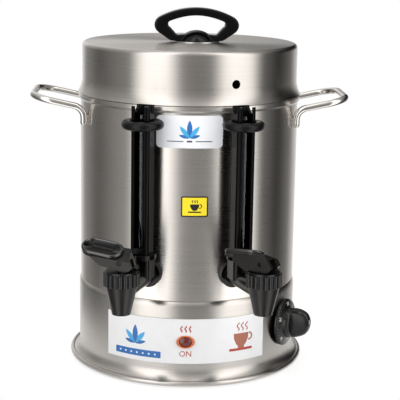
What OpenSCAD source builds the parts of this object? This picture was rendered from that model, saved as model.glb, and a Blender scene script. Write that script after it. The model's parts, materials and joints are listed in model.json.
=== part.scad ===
// Tea boiler: a heated base, a steel tank with a brew pot hung in its mouth, two gauge taps and a deep lid.
// Millimetres, +Z up. The origin is on the tank's axis, on the surface that the feet stand on.
// The taps face -Y. Azimuths are counted from -Y, positive towards +X.

/* [Tank] */
// Outer diameter of the tank wall
tank_d = 210; // [200:1:220]
// Sheet thickness of tank, base, lid and pot
sheet_t = 1; // [0.8:0.1:1.2]
// Height of the seam between base and tank
seam_z = 81; // [76:1:86]
// Height of the tank's rim, on which pot and lid sit
rim_z = 262; // [254:1:270]
// Height of the raised band below the rim
band_h = 6.5; // [5:0.5:8]
// How far the band stands out of the tank wall
band_out = 2.2; // [1.6:0.1:2.6]
// Width of the inward ledge at the rim
rim_ledge = 6; // [5:0.5:8]
// Height of the lip turned down from the ledge
rim_lip = 4; // [3:0.5:6]
// Height of the tank's floor above the seam
floor_rise = 12; // [10:1:14]
// Bend radius of the floor's edge
floor_bend = 5; // [3:0.5:6]

/* [Base] */
// How far the base drum stands out of the tank wall
base_over = 1.3; // [1:0.1:2]
// How far the rolled foot rim stands out of the base drum
foot_out = 9.2; // [7:0.2:12]
// Thickness of the rolled foot rim
foot_bead = 5; // [4:0.5:6]
// Radius of the flare above the foot rim
flare_r = 12; // [10:0.5:13]
// How far the rubber feet stand below the rim
foot_gap = 1.5; // [1:0.5:3]
// Diameter of a rubber foot
rubber_foot_d = 20; // [16:1:24]
// Distance of the rubber feet from the bottom plate's edge
rubber_foot_in = 12.7; // [11:0.1:20]
// Height of the lip that centres the tank
lip_h = 6; // [4:0.5:7]
// Height of the bottom plate above the floor
plate_z = 6; // [5:0.5:8]
// Degrees by which the base sits turned under the tank
base_turn = -2; // [-4:0.5:4]
// Diameter of the cooling holes in the bottom plate
plate_hole_d = 8; // [6:0.5:10]
// Number of cooling holes in the bottom plate
plate_holes = 12; // [8:1:16]

/* [Front panel] */
// Half angle that the panel spans
panel_half = 43; // [38:1:46]
// Height of the panel's lower edge
panel_z = 21.5; // [20:0.5:26]
// Height of the panel
panel_h = 43; // [38:1:46]
// Thickness of the panel
panel_t = 0.8; // [0.6:0.1:1.2]
// Width of the pilot lamp
lamp_w = 17; // [14:0.5:20]
// Height of the pilot lamp
lamp_h = 12; // [10:0.5:13]
// How far the lamp lens stands out
lamp_out = 2.5; // [2:0.5:4]
// Diameter of the lamp's neck
lamp_neck_d = 9; // [7:0.5:9.5]

/* [Thermostat] */
// Azimuth of the thermostat knob on the base
knob_az = 62; // [58:1:68]
// Height of the knob's axis
knob_z = 46; // [44:1:48]
// Diameter of the dial skirt
knob_d = 45; // [42:1:48]
// Thickness of the dial skirt
knob_skirt_t = 4.5; // [4:0.5:6]
// Diameter of the hub below the grip
knob_hub_d = 29; // [26:1:32]
// Height of the hub
knob_hub_h = 6; // [4:0.5:8]
// Length of the grip bar
grip_l = 33; // [28:1:36]
// Length of the grip bar at its tip
grip_tip_l = 19; // [15:1:22]
// Thickness of the grip bar
grip_t = 12; // [10:0.5:14]
// Height of the grip bar
grip_h = 16; // [12:0.5:18]
// Corner radius of the grip bar
grip_round = 5; // [3:0.5:5]
// Diameter of the spindle
spindle_d = 6; // [5:0.5:7]
// Diameter of the threaded neck
neck_d = 10; // [9:0.5:11]
// Side of the square thermostat case
stat_side = 36; // [32:1:40]
// Depth of the thermostat case
stat_depth = 26; // [22:1:30]

/* [Heater] */
// Diameter of the heating tube
heater_tube_d = 8; // [7:0.5:9]
// Radius of the heating ring
heater_ring_r = 46; // [42:1:47]
// Height of the ring above the tank's floor
heater_rise = 12; // [10:1:14]
// Degrees left open between the ring's ends
heater_gap = 40; // [36:1:60]

/* [Lid] */
// How far the lid's side lies inside the tank wall
lid_in = 1.6; // [1:0.1:3]
// How far the lid's flared lower edge stands out of the tank wall
lid_over = 2.4; // [2:0.1:3]
// Height of the flare
lid_flare_h = 14; // [10:1:18]
// Height of the lid
lid_h = 48; // [42:1:56]
// Radius of the lid's top edge
lid_round = 4; // [3:0.5:6]
// Diameter of the steam hole
vent_d = 8; // [6:0.5:10]
// Azimuth of the steam hole
vent_az = 22; // [10:1:40]
// Height of the steam hole above the lid's edge
vent_rise = 18.5; // [17:0.5:24]

/* [Lid handle] */
// Width of the bow, outside
bow_w = 81; // [74:1:88]
// Height of the bow above the lid
bow_h = 32.5; // [31:0.5:36]
// Height of the bow's ends above the lid
bow_end_h = 15.8; // [14:0.2:17]
// Slope of the bow's lower limbs
bow_slope = 40; // [35:1:45]
// Thickness of the bow's foot
bow_foot_t = 5; // [4:0.5:6]
// Thickness of the bow at its ends
bow_t = 8.5; // [7:0.5:9]
// Thickness of the bow at its crown
bow_crown_t = 7; // [6:0.5:8]
// Depth of the bow, front to back
bow_depth = 16; // [13:0.5:20]
// Radius of the bow's turned-in ends
bow_end_r = 5; // [4.5:0.5:6]
// Diameter of the central boss
boss_d = 34; // [30:1:36]
// Height of the boss
boss_h = 10; // [9:0.5:12]
// How far the handle sits to the right of the lid's centre
handle_x = 6; // [0:0.5:8]
// Diameter of the handle screw
handle_screw_d = 5; // [4:0.5:6]

/* [Side handles] */
// Diameter of the handle rod
rod_d = 6.5; // [6:0.5:8]
// Distance between the two legs of a handle
leg_span = 82; // [70:1:90]
// Reach of the loop beyond the tank wall
loop_reach = 47; // [42:1:54]
// Corner radius of the loop
loop_corner = 20; // [14:1:24]
// Upward slope of the loop, in degrees
loop_tilt = 12; // [8:1:14]
// Height of the welded legs
leg_h = 17; // [14:1:20]
// Distance of the loop's start below the rim
loop_drop = 11.5; // [11:0.5:13]
// Bend radius between leg and loop
leg_bend = 11; // [6:0.5:13]

/* [Taps] */
// Azimuth of each tap, left and right of the front
tap_az = 21; // [19:0.5:24]
// Height of the tap's pipe
tap_z = 107; // [105:0.5:110]
// Gap between a lever that points back and the gauge guard
lever_gap = 1.8; // [1:0.1:6]
// Outer diameter of the pipe
pipe_d = 17; // [16:0.5:19]
// Bore of the pipe
pipe_bore_d = 11; // [9:0.5:12]
// Diameter of the flange
flange_d = 25; // [24:0.5:28]
// Thickness of the flange
flange_t = 4; // [3:0.5:5]
// Diameter of the threaded tail
tail_d = 18; // [16:0.5:19]
// Length of the tail behind the flange
tail_l = 22; // [20:0.5:24]
// Width of the nut across flats
nut_af = 27; // [25:0.5:28]
// Thickness of the nut
nut_t = 6; // [5:0.5:7]
// Thickness of the rubber washers at the wall's outermost point
washer_t = 2; // [1.5:0.1:2.5]
// Height of the spout's mouth
mouth_z = 87; // [86:0.5:90]
// Outer diameter of the mouth
mouth_d = 16.5; // [15:0.5:18]
// Outer diameter of the cone below the collar
cone_d = 28; // [26:0.5:29]
// Bore of the spout
spout_bore_d = 10; // [9:0.5:11]
// Outer diameter of the ribbed collar
collar_d = 32; // [31.5:0.5:34]
// Height of the collar's lower edge
collar_z = 113; // [112:0.5:114]
// Height of the collar
collar_h = 13; // [12:0.5:14]
// Number of ribs round the collar
collar_ribs = 20; // [16:1:24]
// Diameter of a collar rib
rib_d = 1.9; // [1.4:0.1:2]
// Thickness of the collar's top
collar_top_t = 2.5; // [2:0.5:3]
// Diameter of the valve chamber
chamber_d = 18; // [17:0.5:19]
// Diameter of the valve stem
stem_d = 8; // [7:0.5:8]
// Diameter of the lever's pin
pin_d = 4; // [3.5:0.5:4]
// Diameter of the rubber valve seal
seal_d = 15; // [14:0.5:16]
// Height of the valve seal
seal_h = 5; // [4:0.5:6]
// Mean diameter of the valve spring
spring_d = 12; // [11.5:0.5:13]
// Wire of the valve spring
spring_wire = 1.6; // [1.2:0.1:1.8]
// Turns of the valve spring
spring_turns = 5; // [4:1:5]

/* [Levers] */
// Radius of the lever's round heel
heel_r = 9; // [8:0.5:9]
// Offset of the heel's centre from the pin, which lifts the stem
heel_offset = 4; // [3.5:0.25:4]
// Tilt at which a lever is fully open
lever_open = 60; // [50:1:60]
// Reach of the lever from its pin
lever_l = 38; // [34:1:38]
// Width of the thumb paddle
lever_w = 20; // [18:0.5:22]
// Height of the paddle's top above the pin
lever_top = 8.5; // [8:0.25:10]
// Thickness of the paddle
lever_t = 4; // [3.5:0.25:5]
// Length of the paddle
paddle_l = 37; // [34:1:37]
// Slant of the thumb face to one side, in degrees
lever_slant = 25; // [15:1:28]
// Fall of the thumb face towards its tip, in degrees
lever_pitch = 6; // [0:1:8]
// Width of the rim round the thumb hollow
lever_rim = 2.4; // [2:0.2:3]
// Width of the slot for the stem
lever_slot = 8.6; // [8.4:0.1:9]
// Depth of the thumb hollow
thumb_depth = 1.2; // [1:0.1:1.4]
// Turn of the left lever about the spout, from straight out
left_turn = -84; // [-110:1:-60]
// Tilt of the left lever
left_tilt = 13; // [0:1:30]
// Turn of the right lever about the spout
right_turn = 213; // [150:1:220]
// Tilt of the right lever
right_tilt = 0; // [0:1:50]

/* [Gauges] */
// Gap between the gauge's rubber ring and the tank wall
ring_seat = 0.5; // [0.3:0.1:0.8]
// Outer diameter of the gauge glass
glass_d = 10; // [9:0.5:11]
// Wall of the gauge glass
glass_t = 1.5; // [1:0.25:2]
// Side of the square guard
guard_side = 17.5; // [17:0.5:18]
// Corner radius of the guard
guard_round = 4; // [4:0.25:5]
// Wall of the guard
guard_t = 2.2; // [1.8:0.1:2.6]
// Width of the viewing slot
slot_w = 9.5; // [8:0.5:10]
// Height of the guard's foot
guard_z = 130; // [129:0.5:132]
// Height of the guard's top
guard_top_z = 264; // [258:1:268]
// Side of the socket block
socket_side = 20; // [19:0.5:21]
// Diameter of the socket's collar
socket_collar_d = 26; // [25.5:0.5:28]
// Thickness of the socket's collar
socket_collar_t = 4.5; // [4:0.5:5]
// Thickness of the rubber ring round the guard
ring_t = 8.2; // [7.5:0.1:8.2]
// Height of the rubber ring
ring_z = 247; // [240:1:250]

/* [Brew pot] */
// Outer diameter of the brew pot
pot_d = 140; // [130:1:150]
// Depth of the brew pot
pot_depth = 88; // [80:1:92]
// Outer diameter of the strainer
strainer_d = 116; // [104:1:120]
// Depth of the strainer
strainer_depth = 58; // [50:1:64]
// Diameter of the strainer's holes
strainer_hole_d = 4; // [3:0.5:4]
// Rings of holes in the strainer's floor
strainer_rings = 4; // [3:1:5]
// Outer diameter of the tea pipe
tea_pipe_d = 10; // [9:0.5:10]
// Bend radius of the tea pipe
tea_bend = 18; // [16:1:22]
// Distance of the pot's outlet from the axis
outlet_r = 50; // [46:1:52]

/* [Hidden] */
$fn = 96;
// Gap between parts that are welded or pressed together
weld_gap = 0.05;
// Gap between parts that rest on or slide past each other
rest_gap = 0.3;
// Radial gap of a running fit
run_gap = 0.08;
// Gap under a flange that lies on its rim
seat_gap = 0.15;
// Extra length of a cutting tool
cut = 1;
// Reach of a drill to each side of a sheet
drill = 10;
tank_r = tank_d / 2;
tank_in_r = tank_r - sheet_t;
band_r = tank_r + band_out;
band_z = rim_z - band_h;
floor_z = seam_z + floor_rise;
base_r = tank_r + base_over;
foot_r = base_r + foot_out;
lip_r = tank_in_r - weld_gap;
shoulder_turn = 45;
shoulder_r = (base_r - lip_r) / (1 - cos(shoulder_turn));
shoulder_z = seam_z - rest_gap - shoulder_r * sin(shoulder_turn);
flare_z = foot_gap + foot_bead / 2 + flare_r;
flare_turn = acos(1 - (foot_r - foot_bead / 2 - base_r) / flare_r);
lid_r = tank_r - lid_in;
lid_z = rim_z + rest_gap;
lid_top_z = lid_z + lid_h;
lid_edge_out = lid_over + lid_in;
lid_flare_r = (pow(lid_flare_h, 2) + pow(lid_edge_out, 2)) / (2 * lid_edge_out);
lid_flare_turn = asin(lid_flare_h / lid_flare_r);
handle_washer_t = 1;
handle_z = lid_top_z + handle_washer_t;
knob_back_r = base_r + panel_t + rest_gap;
ring_mid_r = (guard_side / 2 - guard_round) * sqrt(2) + guard_round + ring_t / 2 + weld_gap;
gauge_r = tank_r + ring_seat + ring_mid_r + ring_t / 2;
spout_r = gauge_r + guard_side / 2 + lever_gap + lever_l;
collar_top_z = collar_z + collar_h;
seat_drop = 1.5;
seat_z = tap_z - pipe_bore_d / 2 - seat_drop;
seal_z = seat_z + rest_gap;
heel_low = heel_r - heel_offset * sin(lever_open / 2);
lift_full = 2 * heel_offset * sin(lever_open / 2);
pin_z = collar_top_z + rest_gap + heel_low;
flange_r = tank_r + washer_t;
left_lift = lift_full * left_tilt / lever_open;
right_lift = lift_full * right_tilt / lever_open;
pot_flange_z = rim_z + seat_gap;
pot_floor_z = pot_flange_z - pot_depth;
strainer_z = pot_flange_z + sheet_t + seat_gap;
stud_d = 5;
stud_inset = 27;
stud_r = tank_r - stud_inset;
stud_count = 3;
SIDES = [-1, 1];

steel = [0.74, 0.72, 0.69];
black = [0.07, 0.07, 0.08];
rubber = [0.12, 0.12, 0.12];
clear_glass = [0.75, 0.85, 0.85, 0.5];
white = [0.95, 0.96, 0.97];

// Outline helpers for spun sheet metal
function unit(v) = v / norm(v);
function left_of(v) = [-v[1], v[0]];
function heading(p, i) = unit(p[i + 1] - p[i]);
function miter(p, i) =
    let (a = left_of(heading(p, max(i - 1, 0))),
         b = left_of(heading(p, min(i, len(p) - 2))),
         m = unit(a + b))
    m / (m * a);
function wall(p, t) = concat(p, [for (i = [len(p) - 1:-1:0]) p[i] + t * miter(p, i)]);
function arc(c, r, a0, a1, n = 8) =
    [for (i = [0:n]) let (a = a0 + (a1 - a0) * i / n) c + r * [cos(a), sin(a)]];
// Outline that wraps two circles
function wrap(c1, r1, c2, r2, n = 16) =
    let (v = c2 - c1, a = atan2(v[1], v[0]), side = acos((r1 - r2) / norm(v)))
    concat(arc(c1, r1, a + side, a + 360 - side, n), arc(c2, r2, a - side, a + side, n));

// A section carried along a path of points; first is a direction across the path's start,
// and share widens or narrows the section along that direction, point by point
function along(p, i) = unit(p[min(i + 1, len(p) - 1)] - p[max(i - 1, 0)]);
function across(v, t) = unit(v - (v * t) * t);
function frames(p, first, i = 0) = i == len(p) ? [] :
    let (t = along(p, i), n = across(first, t))
    concat([[n, cross(t, n)]], frames(p, n, i + 1));
module swept(path, section, first, share = []) {
    m = len(section);
    last = len(path) - 1;
    f = frames(path, first);
    k = len(share) > 0 ? share : [for (q = path) 1];
    points = [for (i = [0:last], q = section) path[i] + k[i] * q[0] * f[i][0] + q[1] * f[i][1]];
    sides = [for (i = [0:last - 1], j = [0:m - 1])
        let (a = i * m + j, b = i * m + (j + 1) % m) each [[a, b, b + m], [a, b + m, a + m]]];
    caps = [for (j = [1:m - 2]) each [[0, j + 1, j], [last * m, last * m + j, last * m + j + 1]]];
    polyhedron(points, [for (t = concat(sides, caps)) [t[0], t[2], t[1]]], convexity = 6);
}
// Points of a circle of diameter d, and of an arc in space between the directions u and v
function ring(d, n) = [for (i = [0:n - 1]) d / 2 * [cos(360 * i / n), sin(360 * i / n)]];
function bend(c, r, u, v, a0, a1, n = 8) =
    [for (i = [0:n]) let (a = a0 + (a1 - a0) * i / n) c + r * (cos(a) * u + sin(a) * v)];

// A sheet of thickness t, spun about Z along an outline of [radius, height] points
module spun(outline, t) {
    rotate_extrude() polygon(wall(outline, t));
}

// Children placed at an azimuth; there, -Y points outwards
module at_azimuth(a, r = 0, z = 0) {
    rotate([0, 0, a]) translate([0, -r, z]) children();
}

// Cylinder that points outwards from radius r0 to r1 at the current azimuth
module spoke(d, r0, r1, z = 0, sides = 96) {
    translate([0, -r0, z]) rotate([90, 0, 0]) cylinder(d = d, h = r1 - r0, $fn = sides);
}

module tube(d, bore, h) {
    difference() {
        cylinder(d = d, h = h);
        translate([0, 0, -cut]) cylinder(d = bore, h = h + 2 * cut);
    }
}

// Slot outline of width w and height h, with round ends
module slot_outline(w, h) {
    square([w - h, h], center = true);
    for (s = SIDES) translate([s * (w - h) / 2, 0]) circle(d = h);
}

module round_square(side, r) {
    square([side, side - 2 * r], center = true);
    square([side - 2 * r, side], center = true);
    for (x = SIDES, y = SIDES) translate([x * (side / 2 - r), y * (side / 2 - r)]) circle(r = r);
}

// Hexagon nut with a round bore
module hex_nut(af, bore, h) {
    difference() {
        cylinder(d = af / cos(30), h = h, $fn = 6);
        translate([0, 0, -cut]) cylinder(d = bore, h = h + 2 * cut);
    }
}

// Base
module base_shell() {
    outline = concat(
        arc([base_r + flare_r, flare_z], flare_r, 180 + flare_turn, 180),
        arc([base_r - shoulder_r, shoulder_z], shoulder_r, 0, shoulder_turn),
        [[lip_r, seam_z + lip_h]]);
    color(steel) difference() {
        union() {
            spun(outline, sheet_t);
            rotate_extrude() translate([foot_r - foot_bead / 2, foot_gap + foot_bead / 2])
                circle(d = foot_bead);
        }
        rotate([0, 0, base_turn]) {
            spoke(lamp_neck_d + 2 * run_gap, base_r - drill, base_r + drill, lamp_z);
            rotate([0, 0, knob_az]) spoke(neck_d + 2 * run_gap, base_r - drill, base_r + drill, knob_z);
            rotate([0, 0, 180]) spoke(gland_d + 2 * run_gap, base_r - drill, base_r + drill, gland_z);
        }
    }
}

plate_r = base_r - sheet_t - 2 * rest_gap;
plate_lip = 6;
plate_hole_ring_r = 45;
function stud_az(i) = 360 * i / stud_count;
module base_plate() {
    outline = [[plate_r, plate_z + plate_lip], [plate_r, plate_z], [0, plate_z]];
    color(steel) difference() {
        spun(outline, -sheet_t);
        for (i = [0:plate_holes - 1])
            at_azimuth(360 * i / plate_holes, plate_hole_ring_r, plate_z - cut)
                cylinder(d = plate_hole_d, h = sheet_t + 2 * cut);
        for (i = [0:stud_count - 1])
            at_azimuth(stud_az(i), stud_r, plate_z - cut)
                cylinder(d = stud_d + 2 * run_gap, h = sheet_t + 2 * cut);
    }
}

foot_taper = 3;
rubber_foot_r = plate_r - rubber_foot_in;
module rubber_feet() {
    color(rubber) for (i = [0:3])
        at_azimuth(45 + 90 * i, rubber_foot_r, 0)
            cylinder(d1 = rubber_foot_d - foot_taper, d2 = rubber_foot_d, h = plate_z - weld_gap);
}

module front_panel() {
    color(white) rotate([0, 0, base_turn]) difference() {
        rotate([0, 0, -90 - panel_half]) rotate_extrude(angle = 2 * panel_half)
            translate([base_r + weld_gap, panel_z]) square([panel_t, panel_h]);
        spoke(lamp_neck_d + 2 * run_gap, base_r - drill, base_r + drill, lamp_z);
    }
}

lamp_z = panel_z + panel_h / 2;
lamp_face_r = base_r + panel_t + 2 * weld_gap;
module pilot_lamp_lens() {
    color([0.85, 0.3, 0.08]) rotate([0, 0, base_turn]) translate([0, -lamp_face_r, lamp_z])
        rotate([90, 0, 0]) linear_extrude(lamp_out) slot_outline(lamp_w, lamp_h);
}

lamp_body_l = 24;
lamp_clip_d = 14;
module pilot_lamp_body() {
    color(black) rotate([0, 0, base_turn]) {
        intersection() {
            spoke(lamp_neck_d, lamp_face_r - lamp_body_l, lamp_face_r + cut, lamp_z);
            translate([0, 0, panel_z]) cylinder(r = lamp_face_r - weld_gap, h = panel_h);
        }
        intersection() {
            spoke(lamp_clip_d, lamp_face_r - lamp_body_l / 2, base_r, lamp_z);
            translate([0, 0, panel_z]) cylinder(r = base_r - sheet_t - weld_gap, h = panel_h);
        }
    }
}

nut_flat_t = 2.5;
stat_gap = 4;
stat_front_r = base_r - sheet_t - stat_gap;
module thermostat_body() {
    color(black) rotate([0, 0, base_turn + knob_az]) {
        translate([-stat_side / 2, -stat_front_r, knob_z - stat_side / 2])
            cube([stat_side, stat_depth, stat_side]);
        spoke(neck_d, stat_front_r - cut, base_r + nut_flat_t, knob_z);
        spoke(spindle_d, stat_front_r, knob_back_r + knob_skirt_t + knob_hub_h, knob_z);
    }
}

thermostat_nut_af = 15;
module thermostat_nut() {
    color(steel) rotate([0, 0, base_turn + knob_az])
        translate([0, -base_r - weld_gap, knob_z]) rotate([90, 0, 0])
            hex_nut(thermostat_nut_af, neck_d + 2 * run_gap, nut_flat_t);
}

nut_room = thermostat_nut_af / cos(30) + 2;
skirt_taper = 3;
hub_taper = 2;
knob_top = knob_skirt_t + knob_hub_h + grip_h;
// Side of the grip bar: broad at the hub, drawn in to a rounded tip
module grip_side() {
    low = knob_skirt_t;
    polygon(concat(
        [[-grip_l / 2, low], [grip_l / 2, low], [grip_l / 2, low + knob_hub_h]],
        arc([grip_tip_l / 2 - grip_round, knob_top - grip_round], grip_round, 45, 90, 4),
        arc([grip_round - grip_tip_l / 2, knob_top - grip_round], grip_round, 90, 135, 4),
        [[-grip_l / 2, low + knob_hub_h]]));
}
module thermostat_knob() {
    color(black) rotate([0, 0, base_turn + knob_az]) translate([0, -knob_back_r, knob_z]) rotate([90, 0, 0])
        difference() {
            union() {
                cylinder(d1 = knob_d, d2 = knob_d - skirt_taper, h = knob_skirt_t);
                cylinder(d1 = knob_hub_d + hub_taper, d2 = knob_hub_d, h = knob_skirt_t + knob_hub_h);
                intersection() {
                    linear_extrude(knob_top) rotate(90) slot_outline(grip_l, grip_t);
                    translate([-grip_t, 0, 0]) rotate([90, 0, 90]) linear_extrude(2 * grip_t) grip_side();
                }
            }
            translate([0, 0, -cut]) cylinder(d = nut_room, h = nut_flat_t + rest_gap + cut);
            translate([0, 0, -cut])
                cylinder(d = spindle_d + 2 * run_gap, h = knob_skirt_t + knob_hub_h + rest_gap + cut);
        }
}

gland_d = 14;
gland_z = 32;
gland_head_d = 20;
gland_head_t = 6;
gland_bore_d = 8;
gland_in = 14;
gland_out = 8;
module cord_gland() {
    color(black) rotate([0, 0, base_turn + 180]) difference() {
        union() {
            spoke(gland_d, base_r - gland_in, base_r + gland_out, gland_z);
            difference() {
                spoke(gland_head_d, base_r, base_r + gland_head_t, gland_z);
                cylinder(r = base_r + weld_gap, h = seam_z);
            }
        }
        spoke(gland_bore_d, base_r - gland_in - cut, base_r + gland_out + cut, gland_z);
    }
}

stud_foot_z = 2;
module tie_studs() {
    color(steel) for (i = [0:stud_count - 1])
        at_azimuth(stud_az(i), stud_r, stud_foot_z)
            cylinder(d = stud_d, h = floor_z - sheet_t - weld_gap - stud_foot_z);
}

tie_nut_af = 8;
tie_nut_t = 3.2;
module tie_nuts() {
    color(steel) for (i = [0:stud_count - 1])
        at_azimuth(stud_az(i), stud_r, plate_z - weld_gap - tie_nut_t)
            hex_nut(tie_nut_af, stud_d + 2 * run_gap, tie_nut_t);
}

// Tank
tap_hole_d = tail_d + 2 * rest_gap;
module tank_shell() {
    outline = [
        [tank_r, seam_z], [tank_r, band_z], [band_r, band_z + band_out],
        [band_r, rim_z - sheet_t], [band_r - sheet_t, rim_z],
        [tank_in_r - rim_ledge, rim_z], [tank_in_r - rim_ledge, rim_z - rim_lip]];
    color(steel) difference() {
        spun(outline, sheet_t);
        for (s = SIDES) rotate([0, 0, s * tap_az]) spoke(tap_hole_d, tank_r - drill, tank_r + drill, tap_z);
    }
}

heater_leg_az = heater_gap / 2;
module tank_floor() {
    floor_r = tank_in_r - weld_gap;
    outline = concat(
        [[floor_r, seam_z + lip_h + rest_gap]],
        arc([floor_r - floor_bend, floor_z - floor_bend], floor_bend, 0, 90),
        [[0, floor_z]]);
    color(steel) difference() {
        spun(outline, sheet_t);
        for (s = SIDES) at_azimuth(180 + s * heater_leg_az, heater_ring_r, floor_z - drill)
            cylinder(d = heater_tube_d + 2 * run_gap, h = 2 * drill);
    }
}

heater_z = floor_z + heater_rise;
heater_leg_low = 16;
module heater_element() {
    color([0.35, 0.33, 0.31]) {
        translate([0, 0, heater_z]) rotate([0, 0, 90 + heater_leg_az])
            rotate_extrude(angle = 360 - heater_gap) translate([heater_ring_r, 0]) circle(d = heater_tube_d);
        for (s = SIDES) at_azimuth(180 + s * heater_leg_az, heater_ring_r, floor_z - heater_leg_low) {
            cylinder(d = heater_tube_d, h = heater_rise + heater_leg_low);
            translate([0, 0, heater_leg_low + heater_washer_t + 2 * weld_gap])
                cylinder(d = heater_sleeve_d, h = heater_rise + heater_sleeve_d / 2 - heater_washer_t);
        }
    }
}

heater_sleeve_t = 1;
heater_sleeve_d = heater_tube_d + 2 * heater_sleeve_t;
heater_nut_af = 14;
heater_nut_t = 5;
module heater_nuts() {
    color([0.78, 0.62, 0.28]) for (s = SIDES)
        at_azimuth(180 + s * heater_leg_az, heater_ring_r, floor_z - sheet_t - weld_gap - heater_nut_t)
            hex_nut(heater_nut_af, heater_tube_d + 2 * run_gap, heater_nut_t);
}

heater_washer_d = 15;
heater_washer_t = 2;
module heater_washers() {
    color(rubber) for (s = SIDES)
        at_azimuth(180 + s * heater_leg_az, heater_ring_r, floor_z + weld_gap)
            tube(heater_washer_d, heater_tube_d + 2 * run_gap, heater_washer_t);
}

// Side handles: a rod loop welded to the wall by two upright legs
leg_x = sqrt(pow(tank_r + rod_d / 2 + weld_gap, 2) - pow(leg_span / 2, 2));
loop_z = rim_z - loop_drop;
loop_l = (tank_r + loop_reach - rod_d / 2 - leg_x) / cos(loop_tilt);
rod_sides = 16;
// Points of half the loop, from the foot of its leg to the middle of its cross bar
function half_loop(y) =
    let (out = [cos(loop_tilt), 0, sin(loop_tilt)], up = [0, 0, 1], side = [0, y, 0],
         leg = [leg_x, y * leg_span / 2, loop_z],
         knee = leg_bend * tan((90 - loop_tilt) / 2),
         corner = leg + (loop_l - loop_corner) * out - loop_corner * side)
    concat([leg - leg_h * up],
        bend(leg - knee * up + [leg_bend, 0, 0], leg_bend, [-1, 0, 0], up, 0, 90 - loop_tilt, 5),
        bend(corner, loop_corner, side, out, 0, 90),
        [corner + [0, -y * (leg_span / 2 - loop_corner), 0] + loop_corner * out]);
module side_handle(s) {
    near = half_loop(-1);
    far = half_loop(1);
    path = concat(near, [for (i = [len(far) - 2:-1:0]) far[i]]);
    color(steel) mirror([s < 0 ? 1 : 0, 0, 0]) swept(path, ring(rod_d, rod_sides), [1, 0, 0]);
}
module side_handle_left() { side_handle(-1); }
module side_handle_right() { side_handle(1); }

// Taps
module in_tap(s) {
    rotate([0, 0, s * tap_az]) children();
}

module at_spout(s, z = 0) {
    at_azimuth(s * tap_az, spout_r, z) children();
}

body_top_z = collar_top_z - collar_top_t - rest_gap;
cap_d = collar_d - 2 * rib_d;
neck_wall = 2.5;
body_neck_d = chamber_d + 2 * neck_wall;
guard_sink = 2.5;
gauge_seal_t = 1.5;
gauge_seal_d = glass_d + 2 * gauge_seal_t;
gauge_seal_h = 7;
seal_foot_z = guard_z - guard_sink - gauge_seal_h;
cone_h = collar_z - weld_gap - mouth_z;
// Outside of the spout's cone, grown by a gap
module spout_cone(gap = 0) {
    translate([0, -spout_r, mouth_z]) cylinder(d1 = mouth_d + 2 * gap, d2 = cone_d + 2 * gap, h = cone_h);
}
module tap_body(s) {
    socket_h = guard_z - socket_collar_t - tap_z + cut;
    color(black) in_tap(s) difference() {
        union() {
            difference() {
                spoke(pipe_d, flange_r, spout_r, tap_z);
                spout_cone(weld_gap);
                translate([0, -spout_r, collar_z - rest_gap])
                    cylinder(d = collar_d + 2 * rest_gap, h = collar_h);
            }
            spoke(flange_d, flange_r, flange_r + flange_t, tap_z);
            spoke(tail_d, flange_r - tail_l, flange_r + cut, tap_z);
            translate([0, -gauge_r, tap_z]) linear_extrude(socket_h) round_square(socket_side, guard_round);
            translate([0, -gauge_r, guard_z - socket_collar_t])
                cylinder(d = socket_collar_d, h = socket_collar_t);
        }
        spoke(pipe_bore_d, flange_r - tail_l - cut, spout_r, tap_z);
        translate([0, -gauge_r, tap_z]) cylinder(d = glass_d - 2 * glass_t, h = guard_z);
        translate([0, -gauge_r, seal_foot_z]) cylinder(d = gauge_seal_d + 2 * weld_gap, h = guard_z);
        translate([0, -gauge_r, guard_z - guard_sink])
            linear_extrude(guard_sink + cut) round_square(guard_side + 2 * weld_gap, guard_round);
    }
}

// Spout with the valve's chamber and seat, fed through a port in its side
module tap_spout(s) {
    color(black) in_tap(s) difference() {
        union() {
            spout_cone();
            translate([0, -spout_r, collar_z - cut])
                cylinder(d = body_neck_d, h = body_top_z - collar_z + cut);
        }
        spoke(pipe_bore_d, spout_r - collar_d, spout_r, tap_z);
        translate([0, -spout_r, seat_z]) cylinder(d = chamber_d, h = collar_top_z);
        translate([0, -spout_r, mouth_z - cut]) cylinder(d = spout_bore_d, h = seat_z);
    }
}

rib_short = 1.5;
module tap_collar(s) {
    color(black) at_spout(s, collar_z) difference() {
        union() {
            cylinder(d = cap_d, h = collar_h);
            for (i = [0:collar_ribs - 1]) rotate([0, 0, 360 * i / collar_ribs])
                translate([cap_d / 2, 0, 0]) cylinder(d = 2 * rib_d, h = collar_h - rib_short, $fn = 24);
        }
        translate([0, 0, -cut]) cylinder(d = body_neck_d + 2 * weld_gap, h = collar_h - collar_top_t + cut);
        cylinder(d = stem_d + 2 * run_gap, h = collar_h + cut);
    }
}

stem_foot_d = 6;
module tap_seal(s, lift) {
    color(rubber) at_spout(s, seal_z + lift) tube(seal_d, stem_foot_d + 2 * run_gap, seal_h);
}

// Valve spring: a helix that ends clear of the seal and of the collar's top
spring_gap = 0.5;
spring_steps = 12;
spring_sides = 6;
module tap_spring(s, lift) {
    low = seal_z + lift + seal_h + 2 * spring_gap + spring_wire / 2;
    high = body_top_z - spring_gap - spring_wire / 2;
    steps = spring_turns * spring_steps;
    path = [for (i = [0:steps]) let (a = 360 * i / spring_steps)
        [spring_d / 2 * cos(a), spring_d / 2 * sin(a), low + (high - low) * i / steps]];
    color(steel) at_spout(s) swept(path, ring(spring_wire, spring_sides), [1, 0, 0]);
}

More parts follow.
